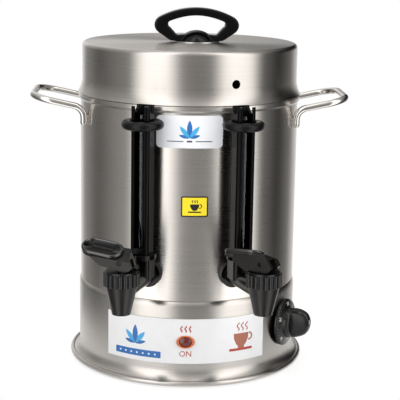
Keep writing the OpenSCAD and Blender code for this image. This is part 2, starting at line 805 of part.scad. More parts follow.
stem_flat = 0.2;
module tap_stem(s, lift, turn) {
    foot_z = seal_z + seal_h + rest_gap;
    color(black) at_spout(s, lift) rotate([0, 0, turn]) difference() {
        union() {
            translate([0, 0, seal_z + rest_gap]) cylinder(d = stem_foot_d, h = seal_h);
            translate([0, 0, foot_z]) cylinder(d = stem_d, h = pin_z - foot_z);
            intersection() {
                translate([0, 0, pin_z]) cylinder(d = stem_d, h = stem_d);
                translate([-stem_d, 0, pin_z]) rotate([0, 90, 0])
                    cylinder(d = stem_d - stem_flat, h = 2 * stem_d);
            }
        }
        translate([-stem_d, 0, pin_z]) rotate([0, 90, 0]) cylinder(d = pin_d + 2 * weld_gap, h = 2 * stem_d);
    }
}

heel_w = 17;
pin_inset = 0.5;
module tap_pin(s, lift, turn) {
    color(steel) at_spout(s, pin_z + lift) rotate([0, 0, turn])
        translate([pin_inset - heel_w / 2, 0, 0]) rotate([0, 90, 0])
            cylinder(d = pin_d, h = heel_w - 2 * pin_inset);
}

// Lever: a forked round heel set behind its pin, so that raising the paddle rolls it down onto the collar.
// The thumb paddle points along -Y when flat, and its face slants to one side.
heel_y = heel_offset * cos(lever_open / 2);
heel_z = heel_offset * sin(lever_open / 2);
heel_skin = 0.2;
neck_w = 17;
neck_r = 3;
neck_y = -16;
neck_z = -3.4;
neck_tip_z = 1.2;
fork_end = 12;
fork_turn = 25;
fork_high_y = 5;
slot_front = heel_r + heel_offset;
slot_gap = 0.4;
slot_top = stem_d / 2 + slot_gap;
// Children in the frame of the slanted thumb face
module on_paddle(slant) {
    translate([0, 0, lever_top]) rotate([0, slant, 0]) rotate([lever_pitch, 0, 0]) children();
}
module paddle_plan(rim = 0) {
    translate([0, paddle_l / 2 - lever_l]) rotate(90) slot_outline(paddle_l - 2 * rim, lever_w - 2 * rim);
}
// Side of the neck: a wedge from the heel to the tip
module neck_side() {
    heel = [heel_y, heel_z];
    middle = [neck_y, neck_z];
    tip = [lever_w / 2 - lever_l + neck_r, neck_tip_z];
    intersection() {
        union() {
            polygon(wrap(heel, heel_r - heel_skin, middle, neck_r));
            polygon(wrap(middle, neck_r, tip, neck_r));
            polygon([
                tip, middle, heel, [fork_end, heel_z],
                [fork_end, 2 * lever_top], [tip[0], 2 * lever_top]]);
        }
        translate([-lever_l, -heel_r]) square([lever_l + fork_end, 4 * heel_r]);
    }
}
// What the slope behind the fork takes off, above the part of the heel that rolls
module fork_slope() {
    low = [heel_y + heel_r * cos(fork_turn), heel_z - heel_r * sin(fork_turn)];
    translate([-lever_w, 0, 0]) rotate([90, 0, 90]) linear_extrude(2 * lever_w)
        polygon([low, [2 * lever_l, low[1]], [2 * lever_l, 2 * lever_top], [fork_high_y, 2 * lever_top],
            [fork_high_y, lever_top]]);
}
module tap_lever(s, lift, turn, tilt) {
    slant = -s * lever_slant;
    color(black) at_spout(s, pin_z + lift) rotate([0, 0, turn]) rotate([-tilt, 0, 0]) difference() {
        union() {
            intersection() {
                union() {
                    translate([-heel_w / 2, heel_y, heel_z]) rotate([0, 90, 0])
                        cylinder(r = heel_r, h = heel_w);
                    translate([-neck_w / 2, 0, 0]) rotate([90, 0, 90]) linear_extrude(neck_w) neck_side();
                }
                on_paddle(slant) translate([-lever_l, -2 * lever_l, -lever_l - lever_t / 2])
                    cube([2 * lever_l, 3 * lever_l, lever_l]);
            }
            on_paddle(slant) translate([0, 0, -lever_t]) linear_extrude(lever_t) paddle_plan();
        }
        on_paddle(slant) translate([0, 0, -thumb_depth]) linear_extrude(thumb_depth + cut)
            paddle_plan(lever_rim);
        translate([-lever_slot / 2, -slot_front, slot_top - 4 * heel_r])
            cube([lever_slot, 4 * heel_r, 4 * heel_r]);
        translate([-lever_w, 0, 0]) rotate([0, 90, 0]) cylinder(d = pin_d + 2 * run_gap, h = 2 * lever_w);
        fork_slope();
    }
}

nut_face_r = tank_in_r - washer_t - nut_af * nut_af / (8 * tank_in_r);
module tap_nut(s) {
    color(black) in_tap(s) translate([0, -nut_face_r, tap_z]) rotate([-90, 0, 0])
        hex_nut(nut_af, tail_d + 2 * run_gap, nut_t);
}

washer_d = flange_d;
module tap_washers(s) {
    color(rubber) in_tap(s) {
        difference() {
            spoke(washer_d, tank_r - drill, flange_r - weld_gap, tap_z);
            cylinder(r = tank_r + weld_gap, h = rim_z);
            spoke(tail_d + 2 * run_gap, tank_r - drill - cut, flange_r + cut, tap_z);
        }
        difference() {
            intersection() {
                spoke(washer_d, nut_face_r + weld_gap, tank_r, tap_z);
                cylinder(r = tank_in_r - weld_gap, h = rim_z);
            }
            spoke(tail_d + 2 * run_gap, nut_face_r - cut, flange_r, tap_z);
        }
    }
}

// Gauges
glass_foot_z = seal_foot_z + seat_gap;
glass_below = 8;
glass_top_z = guard_top_z - glass_below;
slot_foot = 6;
module gauge_glass(s) {
    color(clear_glass) at_azimuth(s * tap_az, gauge_r, glass_foot_z)
        tube(glass_d, glass_d - 2 * glass_t, glass_top_z - glass_foot_z);
}

module gauge_guard(s) {
    h = guard_top_z - guard_z + guard_sink - weld_gap;
    inner = guard_side - 2 * guard_t;
    color(black) at_azimuth(s * tap_az, gauge_r, guard_z - guard_sink + weld_gap) difference() {
        linear_extrude(h) round_square(guard_side, guard_round);
        translate([0, 0, -cut]) linear_extrude(h + 2 * cut) round_square(inner, guard_round - guard_t);
        translate([-slot_w / 2, -guard_side, guard_sink + slot_foot]) cube([slot_w, guard_side, h]);
        translate([-guard_side, 0, h]) rotate([0, 90, 0]) cylinder(d = inner, h = 2 * guard_side);
    }
}

module gauge_ring(s) {
    color(rubber) at_azimuth(s * tap_az, gauge_r, ring_z)
        rotate_extrude() translate([ring_mid_r, 0]) circle(d = ring_t);
}

module gauge_seal(s) {
    color(rubber) at_azimuth(s * tap_az, gauge_r, seal_foot_z + weld_gap)
        tube(gauge_seal_d, glass_d + 2 * weld_gap, gauge_seal_h - weld_gap);
}

module tea_tap_body() { tap_body(-1); }
module tea_tap_spout() { tap_spout(-1); }
module tea_tap_collar() { tap_collar(-1); }
module tea_tap_seal() { tap_seal(-1, left_lift); }
module tea_tap_spring() { tap_spring(-1, left_lift); }
module tea_tap_stem() { tap_stem(-1, left_lift, left_turn); }
module tea_tap_pin() { tap_pin(-1, left_lift, left_turn); }
module tea_tap_lever() { tap_lever(-1, left_lift, left_turn, left_tilt); }
module tea_tap_nut() { tap_nut(-1); }
module tea_tap_washers() { tap_washers(-1); }
module tea_gauge_glass() { gauge_glass(-1); }
module tea_gauge_guard() { gauge_guard(-1); }
module tea_gauge_ring() { gauge_ring(-1); }
module tea_gauge_seal() { gauge_seal(-1); }
module water_tap_body() { tap_body(1); }
module water_tap_spout() { tap_spout(1); }
module water_tap_collar() { tap_collar(1); }
module water_tap_seal() { tap_seal(1, right_lift); }
module water_tap_spring() { tap_spring(1, right_lift); }
module water_tap_stem() { tap_stem(1, right_lift, right_turn); }
module water_tap_pin() { tap_pin(1, right_lift, right_turn); }
module water_tap_lever() { tap_lever(1, right_lift, right_turn, right_tilt); }
module water_tap_nut() { tap_nut(1); }
module water_tap_washers() { tap_washers(1); }
module water_gauge_glass() { gauge_glass(1); }
module water_gauge_guard() { gauge_guard(1); }
module water_gauge_ring() { gauge_ring(1); }
module water_gauge_seal() { gauge_seal(1); }

// Brew pot, strainer and the pipe that leads the tea to its tap
pot_r = pot_d / 2;
pot_flange_r = band_r - 2 * sheet_t;
tea_pipe_bore = tea_pipe_d - 2 * sheet_t;
spigot_l = 14;
module brew_pot() {
    outline = [
        [pot_flange_r, pot_flange_z + sheet_t], [pot_r - sheet_t, pot_flange_z + sheet_t],
        [pot_r - sheet_t, pot_floor_z]];
    color(steel) spun(outline, sheet_t);
}
// Flat disc welded into the foot of the pot's wall
module brew_pot_floor() {
    color(steel) difference() {
        translate([0, 0, pot_floor_z]) cylinder(r = pot_r - sheet_t - weld_gap, h = sheet_t);
        at_azimuth(-tap_az, outlet_r, pot_floor_z - cut)
            cylinder(d = tea_pipe_bore, h = sheet_t + 2 * cut);
    }
}
// Short tube welded under the hole in the pot's floor
module brew_pot_spigot() {
    color(steel) at_azimuth(-tap_az, outlet_r, pot_floor_z - spigot_l)
        tube(tea_pipe_d, tea_pipe_bore, spigot_l - weld_gap);
}

strainer_r = strainer_d / 2;
strainer_rest = 6;
strainer_flange = pot_r + strainer_rest;
strainer_margin = 10;
strainer_pitch = (strainer_r - strainer_margin) / strainer_rings;
strainer_floor_z = strainer_z - strainer_depth;
module tea_strainer() {
    outline = [
        [strainer_flange, strainer_z + sheet_t], [strainer_r - sheet_t, strainer_z + sheet_t],
        [strainer_r - sheet_t, strainer_floor_z + sheet_t], [0, strainer_floor_z + sheet_t]];
    color(steel) difference() {
        spun(outline, sheet_t);
        for (ring = [1:strainer_rings], i = [0:6 * ring - 1])
            at_azimuth(60 * i / ring, ring * strainer_pitch, strainer_floor_z - cut)
                cylinder(d = strainer_hole_d, h = sheet_t + 2 * cut, $fn = 24);
    }
}

tea_pipe_top_z = pot_floor_z - spigot_l - rest_gap;
tea_pipe_insert = 6;
tea_pipe_end_r = flange_r - tail_l + tea_pipe_insert;
module tea_pipe() {
    color(steel) rotate([0, 0, -tap_az]) {
        translate([0, -outlet_r - tea_bend, tap_z]) rotate([90, 0, 0])
            tube(tea_pipe_d, tea_pipe_bore, tea_pipe_end_r - outlet_r - tea_bend);
        translate([0, -outlet_r - tea_bend, tap_z + tea_bend]) rotate([90, 0, 90]) rotate([0, 0, -90])
            rotate_extrude(angle = 90) translate([tea_bend, 0]) difference() {
                circle(d = tea_pipe_d);
                circle(d = tea_pipe_bore);
            }
        translate([0, -outlet_r, tap_z + tea_bend])
            tube(tea_pipe_d, tea_pipe_bore, tea_pipe_top_z - tap_z - tea_bend);
    }
}

sleeve_h = 20;
sleeve_t = 2;
module tea_pipe_sleeve() {
    color([0.85, 0.85, 0.82]) at_azimuth(-tap_az, outlet_r, tea_pipe_top_z - sleeve_h / 2)
        tube(tea_pipe_d + 2 * sleeve_t, tea_pipe_d + 2 * run_gap, sleeve_h);
}

// Lid
module lid_shell() {
    outline = concat(
        arc([lid_r + lid_flare_r, lid_z + lid_flare_h], lid_flare_r, 180 + lid_flare_turn, 180),
        arc([lid_r - lid_round, lid_top_z - lid_round], lid_round, 0, 90),
        [[0, lid_top_z]]);
    color(steel) difference() {
        spun(outline, sheet_t);
        rotate([0, 0, vent_az]) spoke(vent_d, lid_r - drill, lid_r + drill, lid_z + vent_rise);
        translate([handle_x, 0, lid_top_z - drill]) cylinder(d = handle_screw_d + 2 * run_gap, h = 2 * drill);
    }
}

bow_foot_z = handle_z + bow_foot_t / 2;
bow_end_x = bow_w / 2 - bow_end_r - bow_t / 2;
bow_end_z = lid_top_z + bow_end_h;
bow_top_z = lid_top_z + bow_h - bow_crown_t / 2;
// The crown runs through the bow's top and into its ends
bow_rise = bow_top_z - bow_end_z;
bow_crown_r = (pow(bow_end_x, 2) + pow(bow_rise, 2) - pow(bow_end_r, 2)) / (2 * (bow_rise - bow_end_r));
bow_turn = asin(bow_end_x / (bow_crown_r - bow_end_r));
// The limbs run from the ends down to the foot
limb_x = bow_end_x + bow_end_r * sin(bow_slope);
limb_z = bow_end_z - bow_end_r * cos(bow_slope);
foot_bend = 6;
foot_x = limb_x - (limb_z - bow_foot_z) / tan(bow_slope) - foot_bend * tan(bow_slope / 2);
boss_dome_r = 20;
boss_skin = 3;
screw_play = 1;
// Points of half the bow, from its foot to its crown
function half_bow(x) =
    let (z = [0, 0, 1])
    concat(
        [bow_foot_z * z],
        bend(foot_x * x + (bow_foot_z + foot_bend) * z, foot_bend, x, z, -90, bow_slope - 90, 4),
        bend(bow_end_x * x + bow_end_z * z, bow_end_r, x, z, bow_slope - 90, 90 - bow_turn, 10),
        bend((bow_top_z - bow_crown_r) * z, bow_crown_r, x, z, 90 - bow_turn, 90, 8));
// Thickness along the bow, as a share of that at its ends
function bow_share(z) =
    z < bow_end_z
        ? (bow_foot_t + (bow_t - bow_foot_t) * (z - bow_foot_z) / (bow_end_z - bow_foot_z)) / bow_t
        : (bow_t + (bow_crown_t - bow_t) * (z - bow_end_z) / bow_rise) / bow_t;
// Section of the bow: flat faces with round edges
function bow_section(n) = concat(
    [for (i = [0:n]) [0, (bow_depth - bow_t) / 2] + bow_t / 2 * [cos(180 * i / n), sin(180 * i / n)]],
    [for (i = [0:n]) [0, (bow_t - bow_depth) / 2] - bow_t / 2 * [cos(180 * i / n), sin(180 * i / n)]]);
module lid_handle() {
    right = half_bow([1, 0, 0]);
    left = half_bow([-1, 0, 0]);
    both = concat(right, [for (i = [len(left) - 2:-1:0]) left[i]]);
    // Neighbouring arcs share their end points, which the sweep takes once
    path = [for (i = [0:len(both) - 1]) if (i == 0 || norm(both[i] - both[i - 1]) > weld_gap) both[i]];
    color(black) translate([handle_x, 0, 0]) difference() {
        union() {
            swept(path, bow_section(6), [0, 0, 1], [for (q = path) bow_share(q[2])]);
            intersection() {
                translate([0, 0, handle_z]) cylinder(d = boss_d, h = boss_h);
                translate([0, 0, handle_z + boss_h - boss_dome_r]) sphere(r = boss_dome_r);
            }
        }
        translate([0, 0, handle_z - cut])
            cylinder(d = handle_screw_d + 2 * weld_gap, h = boss_h - boss_skin + cut);
    }
}

washer_rim = 5;
module lid_handle_washer() {
    color(steel) translate([handle_x, 0, lid_top_z + weld_gap])
        tube(boss_d + 2 * washer_rim, handle_screw_d + 2 * run_gap, handle_washer_t - 2 * weld_gap);
}

screw_head_d = 10;
screw_head_h = 3;
module lid_handle_screw() {
    color(steel) translate([handle_x, 0, lid_top_z - sheet_t - weld_gap]) {
        translate([0, 0, -screw_head_h]) cylinder(d = screw_head_d, h = screw_head_h);
        cylinder(d = handle_screw_d, h = sheet_t + handle_washer_t + boss_h - boss_skin - screw_play);
    }
}

base_shell();
base_plate();
rubber_feet();
front_panel();
pilot_lamp_lens();
pilot_lamp_body();
thermostat_body();
thermostat_nut();
thermostat_knob();
cord_gland();
tie_studs();
tie_nuts();
tank_shell();
tank_floor();
side_handle_left();
side_handle_right();
heater_element();
heater_nuts();
heater_washers();
tea_tap_body();
tea_tap_spout();
tea_tap_collar();
tea_tap_seal();
tea_tap_spring();
tea_tap_stem();
tea_tap_pin();
tea_tap_lever();
tea_tap_nut();
tea_tap_washers();
tea_gauge_glass();
tea_gauge_guard();
tea_gauge_ring();
tea_gauge_seal();
water_tap_body();
water_tap_spout();
water_tap_collar();
water_tap_seal();
water_tap_spring();
water_tap_stem();
water_tap_pin();
water_tap_lever();
water_tap_nut();
water_tap_washers();
water_gauge_glass();
water_gauge_guard();
water_gauge_ring();
water_gauge_seal();
brew_pot();
brew_pot_floor();
brew_pot_spigot();
tea_strainer();
tea_pipe();
tea_pipe_sleeve();
lid_shell();
lid_handle();
lid_handle_washer();
lid_handle_screw();
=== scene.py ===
import json
import math

import bmesh
import bpy
from mathutils import Matrix, Vector


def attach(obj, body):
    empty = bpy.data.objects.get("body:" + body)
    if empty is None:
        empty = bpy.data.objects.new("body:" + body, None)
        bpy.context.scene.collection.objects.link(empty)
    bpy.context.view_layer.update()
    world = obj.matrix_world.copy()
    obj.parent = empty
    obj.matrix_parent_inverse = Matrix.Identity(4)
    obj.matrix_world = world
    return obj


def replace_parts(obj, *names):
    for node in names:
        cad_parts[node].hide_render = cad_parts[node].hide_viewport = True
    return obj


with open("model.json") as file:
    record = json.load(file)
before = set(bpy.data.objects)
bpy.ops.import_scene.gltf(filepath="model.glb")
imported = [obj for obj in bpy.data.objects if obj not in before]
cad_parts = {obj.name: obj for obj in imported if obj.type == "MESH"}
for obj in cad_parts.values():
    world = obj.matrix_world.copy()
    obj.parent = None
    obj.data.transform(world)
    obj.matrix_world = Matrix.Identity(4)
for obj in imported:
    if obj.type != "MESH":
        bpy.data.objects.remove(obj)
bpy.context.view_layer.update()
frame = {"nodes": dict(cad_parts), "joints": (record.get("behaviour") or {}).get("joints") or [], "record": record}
nodes = frame["nodes"]
joints = {joint["name"]: joint for joint in frame["joints"]}

# Sizes in millimetres, the same as the part's
MM = 0.001
TANK_R = 105.0
BASE_R = 106.3
PANEL_T = 0.8
BASE_TURN = -2.0
RIM_Z = 262.0
LID_TOP_Z = 310.3
WELD_GAP = 0.05


# Small helpers for outlines and paths

def arc(cx, cy, r, a0, a1, n=12):
    """Points on a flat arc, both ends included, angles in degrees."""
    turns = (math.radians(a0 + (a1 - a0) * i / n) for i in range(n + 1))
    return [(cx + r * math.cos(a), cy + r * math.sin(a)) for a in turns]


def bend(centre, r, u, v, a0, a1, n):
    """Points on an arc in the plane of the directions u and v."""
    turns = (math.radians(a0 + (a1 - a0) * i / n) for i in range(n + 1))
    return [centre + r * (math.cos(a) * u + math.sin(a) * v) for a in turns]


def slot_outline(length, width, n=12):
    """Outline with straight sides and round ends, long along its first axis."""
    r = width / 2
    reach = length / 2 - r
    return arc(reach, 0, r, -90, 90, n) + arc(-reach, 0, r, 90, 270, n)


def rounded_box(w, h, r, n=6):
    x, y = w / 2 - r, h / 2 - r
    return (arc(x, -y, r, -90, 0, n) + arc(x, y, r, 0, 90, n)
            + arc(-x, y, r, 90, 180, n) + arc(-x, -y, r, 180, 270, n))


def shifted(outline, dx, dy):
    return [(x + dx, y + dy) for x, y in outline]


def leaf(cx, cy, length, width, angle, n=10):
    """Outline of a pointed leaf that starts at (cx, cy)."""
    c, s = math.cos(math.radians(angle)), math.sin(math.radians(angle))
    side = [(length * i / n, width / 2 * math.sin(math.pi * i / n) ** 0.8) for i in range(n + 1)]
    flat = side + [(x, -y) for x, y in reversed(side[1:-1])]
    return [(cx + c * x - s * y, cy + s * x + c * y) for x, y in reversed(flat)]


def ribbon(points, width):
    """Outline of a band of that width along flat points."""
    left, right = [], []
    for i, (x, y) in enumerate(points):
        ax, ay = points[max(i - 1, 0)]
        bx, by = points[min(i + 1, len(points) - 1)]
        run = math.hypot(bx - ax, by - ay)
        nx, ny = (ay - by) / run * width / 2, (bx - ax) / run * width / 2
        left.append((x + nx, y + ny))
        right.append((x - nx, y - ny))
    return right + left[::-1]


def spaced(path):
    """The path without points that repeat."""
    kept = [path[0]]
    for q in path[1:]:
        if (q - kept[-1]).length > 1e-3:
            kept.append(q)
    return kept


# Pieces

def piece(name, bm, material, body, smooth=40):
    """Makes an object of a bmesh in metres, sharp only at edges over that angle, riding on a body."""
    bmesh.ops.remove_doubles(bm, verts=bm.verts, dist=1e-6)
    bmesh.ops.recalc_face_normals(bm, faces=bm.faces)
    for edge in bm.edges:
        edge.smooth = len(edge.link_faces) == 2 and edge.calc_face_angle(0) < math.radians(smooth)
    for face in bm.faces:
        face.smooth = True
    mesh = bpy.data.meshes.new(name)
    bm.to_mesh(mesh)
    bm.free()
    mesh.materials.append(material)
    obj = bpy.data.objects.new(name, mesh)
    bpy.context.scene.collection.objects.link(obj)
    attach(obj, body)
    return obj


def loft(bm, loops, ring=False):
    """Skin over loops of equally many points, closed at both ends; with ring the last joins the first."""
    rows = [[bm.verts.new(q) for q in loop] for loop in loops]
    count = len(rows[0])
    pairs = list(zip(rows, rows[1:])) + ([(rows[-1], rows[0])] if ring else [])
    for low, high in pairs:
        for i in range(count):
            j = (i + 1) % count
            bm.faces.new((low[i], low[j], high[j], high[i]))
    if not ring:
        bm.faces.new(rows[0][::-1])
        bm.faces.new(rows[-1])


def sweep(bm, path, section, first):
    """Carries a section along a path; section(i) gives flat points, first is across the path's start."""
    loops = []
    across = first
    for i, q in enumerate(path):
        ahead = (path[min(i + 1, len(path) - 1)] - path[max(i - 1, 0)]).normalized()
        across = (across - across.dot(ahead) * ahead).normalized()
        other = ahead.cross(across)
        loops.append([(q + x * across + y * other) * MM for x, y in section(i)])
    loft(bm, loops)


def placed(outlines, place, thickness, step=2.0):
    """Thin plates from flat outlines in mm; place(u, v, w) gives each point's place in mm."""
    bm = bmesh.new()
    for outline in outlines:
        bm.faces.new([bm.verts.new((u, v, 0)) for u, v in outline])
    low = min(vert.co.x for vert in bm.verts)
    high = max(vert.co.x for vert in bm.verts)
    for i in range(1, int((high - low) / step) + 1):
        cut = Vector((low + i * step, 0, 0))
        bmesh.ops.bisect_plane(bm, geom=bm.verts[:] + bm.edges[:] + bm.faces[:],
                               plane_co=cut, plane_no=(1, 0, 0))
    return printed(bm, place, thickness)


def on_wall(radius, azimuth, z):
    """Place on an upright drum: u runs to the right from the azimuth, v up from the height z."""
    def place(u, v, w):
        a = math.radians(azimuth) + u / radius
        return Vector(((radius + w) * math.sin(a), -(radius + w) * math.cos(a), z + v))
    return place


def drum_frame(radius, azimuth, z):
    """Frame on an upright drum, its third axis outwards and its second one up."""
    turn = Matrix.Rotation(math.radians(azimuth), 4, "Z")
    return turn @ Matrix.Translation((0, -radius, z)) @ Matrix.Rotation(math.pi / 2, 4, "X")


def lettering(text, size):
    """Flat outlines of a short word as a bmesh in mm, centred."""
    curve = bpy.data.curves.new("lettering", "FONT")
    curve.body = text
    curve.size = size
    curve.align_x = "CENTER"
    curve.align_y = "CENTER"
    curve.resolution_u = 4
    obj = bpy.data.objects.new("lettering", curve)
    bpy.context.scene.collection.objects.link(obj)
    graph = bpy.context.evaluated_depsgraph_get()
    mesh = bpy.data.meshes.new_from_object(obj.evaluated_get(graph))
    bpy.data.objects.remove(obj)
    bm = bmesh.new()
    bm.from_mesh(mesh)
    bpy.data.meshes.remove(mesh)
    bmesh.ops.remove_doubles(bm, verts=bm.verts, dist=1e-4)
    return bm


def printed(bm, place, thickness):
    """Raises flat faces to a thin print at a place."""
    raised = bmesh.ops.extrude_face_region(bm, geom=bm.faces[:])
    for element in raised["geom"]:
        if isinstance(element, bmesh.types.BMVert):
            element.co.z = thickness
    for vert in bm.verts:
        vert.co = place(*vert.co) * MM
    return bm


# Shader groups

def add(tree, kind, inputs=None, **settings):
    """A shader node with its settings, and its inputs set or linked by name or index."""
    made = tree.nodes.new(kind)
    for key, value in settings.items():
        setattr(made, key, value)
    for key, value in (inputs or {}).items():
        if isinstance(value, bpy.types.NodeSocket):
            tree.links.new(value, made.inputs[key])
        else:
            made.inputs[key].default_value = value
    return made


def shader_group(name, ins, outs):
    tree = bpy.data.node_groups.new(name, "ShaderNodeTree")
    for label, value in ins.items():
        socket = tree.interface.new_socket(label, in_out="INPUT", socket_type="NodeSocketFloat")
        socket.default_value = value
    for label in outs:
        tree.interface.new_socket(label, in_out="OUTPUT", socket_type="NodeSocketFloat")
    return tree, tree.nodes.new("NodeGroupInput"), tree.nodes.new("NodeGroupOutput")


def maths(tree, operation, a, b=0.0, c=0.0):
    return add(tree, "ShaderNodeMath", {0: a, 1: b, 2: c}, operation=operation).outputs[0]


# How much coarser the broad bands of the brushing are than its fine lines
BAND_SCALE = (0.06, 0.06, 0.6)


def make_round_brushing():
    """Fine lines round the upright axis, as left by brushing on a lathe."""
    tree, given, out = shader_group("round_brushing", {"Lines": 900.0, "Drift": 6.0}, ["Streak", "Band"])
    place = add(tree, "ShaderNodeTexCoord").outputs["Object"]
    axes = add(tree, "ShaderNodeSeparateXYZ", {0: place})
    x, y, z = axes.outputs
    flat = add(tree, "ShaderNodeCombineXYZ", {"X": x, "Y": y}).outputs[0]
    radius = add(tree, "ShaderNodeVectorMath", {0: flat}, operation="LENGTH").outputs["Value"]
    lines, drift = given.outputs["Lines"], given.outputs["Drift"]
    slant = maths(tree, "ADD", x, maths(tree, "MULTIPLY", y, 1.3))
    along = maths(tree, "MULTIPLY", slant, drift)
    fine = add(tree, "ShaderNodeCombineXYZ", {
        "X": maths(tree, "MULTIPLY", radius, lines), "Y": maths(tree, "MULTIPLY", z, lines), "Z": along})
    streak = add(tree, "ShaderNodeTexNoise", {"Vector": fine.outputs[0], "Scale": 1.0, "Detail": 5.0,
                                             "Roughness": 0.65})
    broad = add(tree, "ShaderNodeVectorMath", {0: fine.outputs[0], 1: BAND_SCALE}, operation="MULTIPLY")
    band = add(tree, "ShaderNodeTexNoise", {"Vector": broad.outputs[0], "Scale": 1.0, "Detail": 3.0})
    tree.links.new(streak.outputs["Fac"], out.inputs["Streak"])
    tree.links.new(band.outputs["Fac"], out.inputs["Band"])
    return tree


def make_handling():
    """Soft smudges and fine specks from use."""
    tree, given, out = shader_group("handling", {"Size": 30.0}, ["Smudge", "Speck"])
    place = add(tree, "ShaderNodeTexCoord").outputs["Object"]
    smudge = add(tree, "ShaderNodeTexNoise", {"Vector": place, "Scale": given.outputs["Size"], "Detail": 4.0})
    soft = add(tree, "ShaderNodeMapRange", {0: smudge.outputs["Fac"], 1: 0.35, 2: 0.7}, clamp=True)
    size = maths(tree, "MULTIPLY", given.outputs["Size"], 40.0)
    speck = add(tree, "ShaderNodeTexNoise", {"Vector": place, "Scale": size, "Detail": 2.0})
    tree.links.new(soft.outputs[0], out.inputs["Smudge"])
    tree.links.new(speck.outputs["Fac"], out.inputs["Speck"])
    return tree


ROUND_BRUSHING = make_round_brushing()
HANDLING = make_handling()


# Materials

def finish(name, color, rough, metallic=0.0, **sockets):
    """A new material with its shader's constant sockets set; returns material, tree and shader."""
    material = bpy.data.materials.new(name)
    material.use_nodes = True
    tree = material.node_tree
    shader = tree.nodes["Principled BSDF"]
    shader.inputs["Base Color"].default_value = (*color, 1.0)
    shader.inputs["Roughness"].default_value = rough
    shader.inputs["Metallic"].default_value = metallic
    for key, value in sockets.items():
        shader.inputs[key.replace("_", " ")].default_value = value
    material.diffuse_color = (*color, 1.0)
    return material, tree, shader


def use_group(tree, group, **inputs):
    made = add(tree, "ShaderNodeGroup", node_tree=group)
    for key, value in inputs.items():
        made.inputs[key].default_value = value
    return made


def ranged(tree, shader, socket, value, low, high):
    """Feeds a shader's socket from a value, mapped from 0..1 to low..high."""
    made = add(tree, "ShaderNodeMapRange", {0: value, 3: low, 4: high})
    tree.links.new(made.outputs[0], shader.inputs[socket])


def tinted(tree, shader, value, dark, light):
    """Feeds the shader's colour from a value, between two colours."""
    mix = add(tree, "ShaderNodeMix", {0: value}, data_type="RGBA")
    mix.inputs[6].default_value = (*dark, 1.0)
    mix.inputs[7].default_value = (*light, 1.0)
    tree.links.new(mix.outputs[2], shader.inputs["Base Color"])


def relief(tree, shader, height, distance, strength=0.3, edge=0.0):
    """Bump from a height in metres, over edges rounded by that radius."""
    bump = add(tree, "ShaderNodeBump", {"Height": height, "Distance": distance, "Strength": strength})
    if edge:
        soft = add(tree, "ShaderNodeBevel", {"Radius": edge}, samples=4)
        tree.links.new(soft.outputs[0], bump.inputs["Normal"])
    tree.links.new(bump.outputs[0], shader.inputs["Normal"])


STREAK_DARK, STREAK_LIGHT = 0.76, 1.18


def brushed_steel(name, color, rough, lines, anisotropy):
    """Steel with circular brushing: sharp along the lines and blurred across them."""
    material, tree, shader = finish(name, color, rough, metallic=1.0, Anisotropic=anisotropy)
    grain = use_group(tree, ROUND_BRUSHING, Lines=lines)
    wear = use_group(tree, HANDLING, Size=22.0)
    streak, band, smudge = grain.outputs["Streak"], grain.outputs["Band"], wear.outputs["Smudge"]
    tinted(tree, shader, maths(tree, "MULTIPLY_ADD", streak, 0.6, 0.2), [c * STREAK_DARK for c in color],
           [min(c * STREAK_LIGHT, 1.0) for c in color])
    blur = maths(tree, "ADD", maths(tree, "MULTIPLY", streak, 0.6), maths(tree, "MULTIPLY", smudge, 0.25))
    blur = maths(tree, "ADD", blur, maths(tree, "MULTIPLY", band, 0.15))
    ranged(tree, shader, "Roughness", blur, rough * 0.8, rough * 1.25)
    relief(tree, shader, streak, 0.00002, 0.15, edge=0.0006)
    place = add(tree, "ShaderNodeTexCoord").outputs["Object"]
    axes = add(tree, "ShaderNodeSeparateXYZ", {0: place})
    back = maths(tree, "MULTIPLY", axes.outputs["Y"], -1.0)
    round_axis = add(tree, "ShaderNodeCombineXYZ", {"X": back, "Y": axes.outputs["X"]})
    tree.links.new(round_axis.outputs[0], shader.inputs["Tangent"])
    shader.inputs["Anisotropic Rotation"].default_value = 0.25
    return material


def drawn_steel(name, color, rough):
    """Bright rod, pins and fasteners, with faint drawing marks."""
    material, tree, shader = finish(name, color, rough, metallic=1.0)
    wear = use_group(tree, HANDLING, Size=60.0)
    tinted(tree, shader, wear.outputs["Speck"], [c * 0.9 for c in color], color)
    ranged(tree, shader, "Roughness", wear.outputs["Smudge"], rough * 0.8, rough * 1.5)
    relief(tree, shader, wear.outputs["Speck"], 0.00002, 0.15, edge=0.0003)
    return material


def moulded(name, color, rough, edge, grain=0.00003, shine=0.5, coat=0.0):
    """Moulded plastic or rubber with softened edges and a fine skin."""
    material, tree, shader = finish(name, color, rough, Specular_IOR_Level=shine, Coat_Weight=coat,
                                    Coat_Roughness=0.06)
    wear = use_group(tree, HANDLING, Size=45.0)
    tinted(tree, shader, wear.outputs["Speck"], [c * 0.8 for c in color], [c * 1.2 for c in color])
    ranged(tree, shader, "Roughness", wear.outputs["Smudge"], rough * 0.85, rough * 1.3)
    relief(tree, shader, wear.outputs["Speck"], grain, 0.2, edge=edge)
    return material


def painted(name, color, rough=0.35):
    """Flat print or paint with a faint orange peel."""
    material, tree, shader = finish(name, color, rough)
    wear = use_group(tree, HANDLING, Size=80.0)
    tinted(tree, shader, wear.outputs["Smudge"], [c * 0.96 for c in color], color)
    ranged(tree, shader, "Roughness", wear.outputs["Speck"], rough * 0.85, rough * 1.15)
    relief(tree, shader, wear.outputs["Speck"], 0.00002, 0.1)
    return material


def clear(name, color, rough, ior):
    """Glass or a clear lens."""
    material, tree, shader = finish(name, color, rough, Transmission_Weight=1.0, IOR=ior)
    wear = use_group(tree, HANDLING, Size=70.0)
    ranged(tree, shader, "Roughness", wear.outputs["Smudge"], rough, rough + 0.05)
    return material


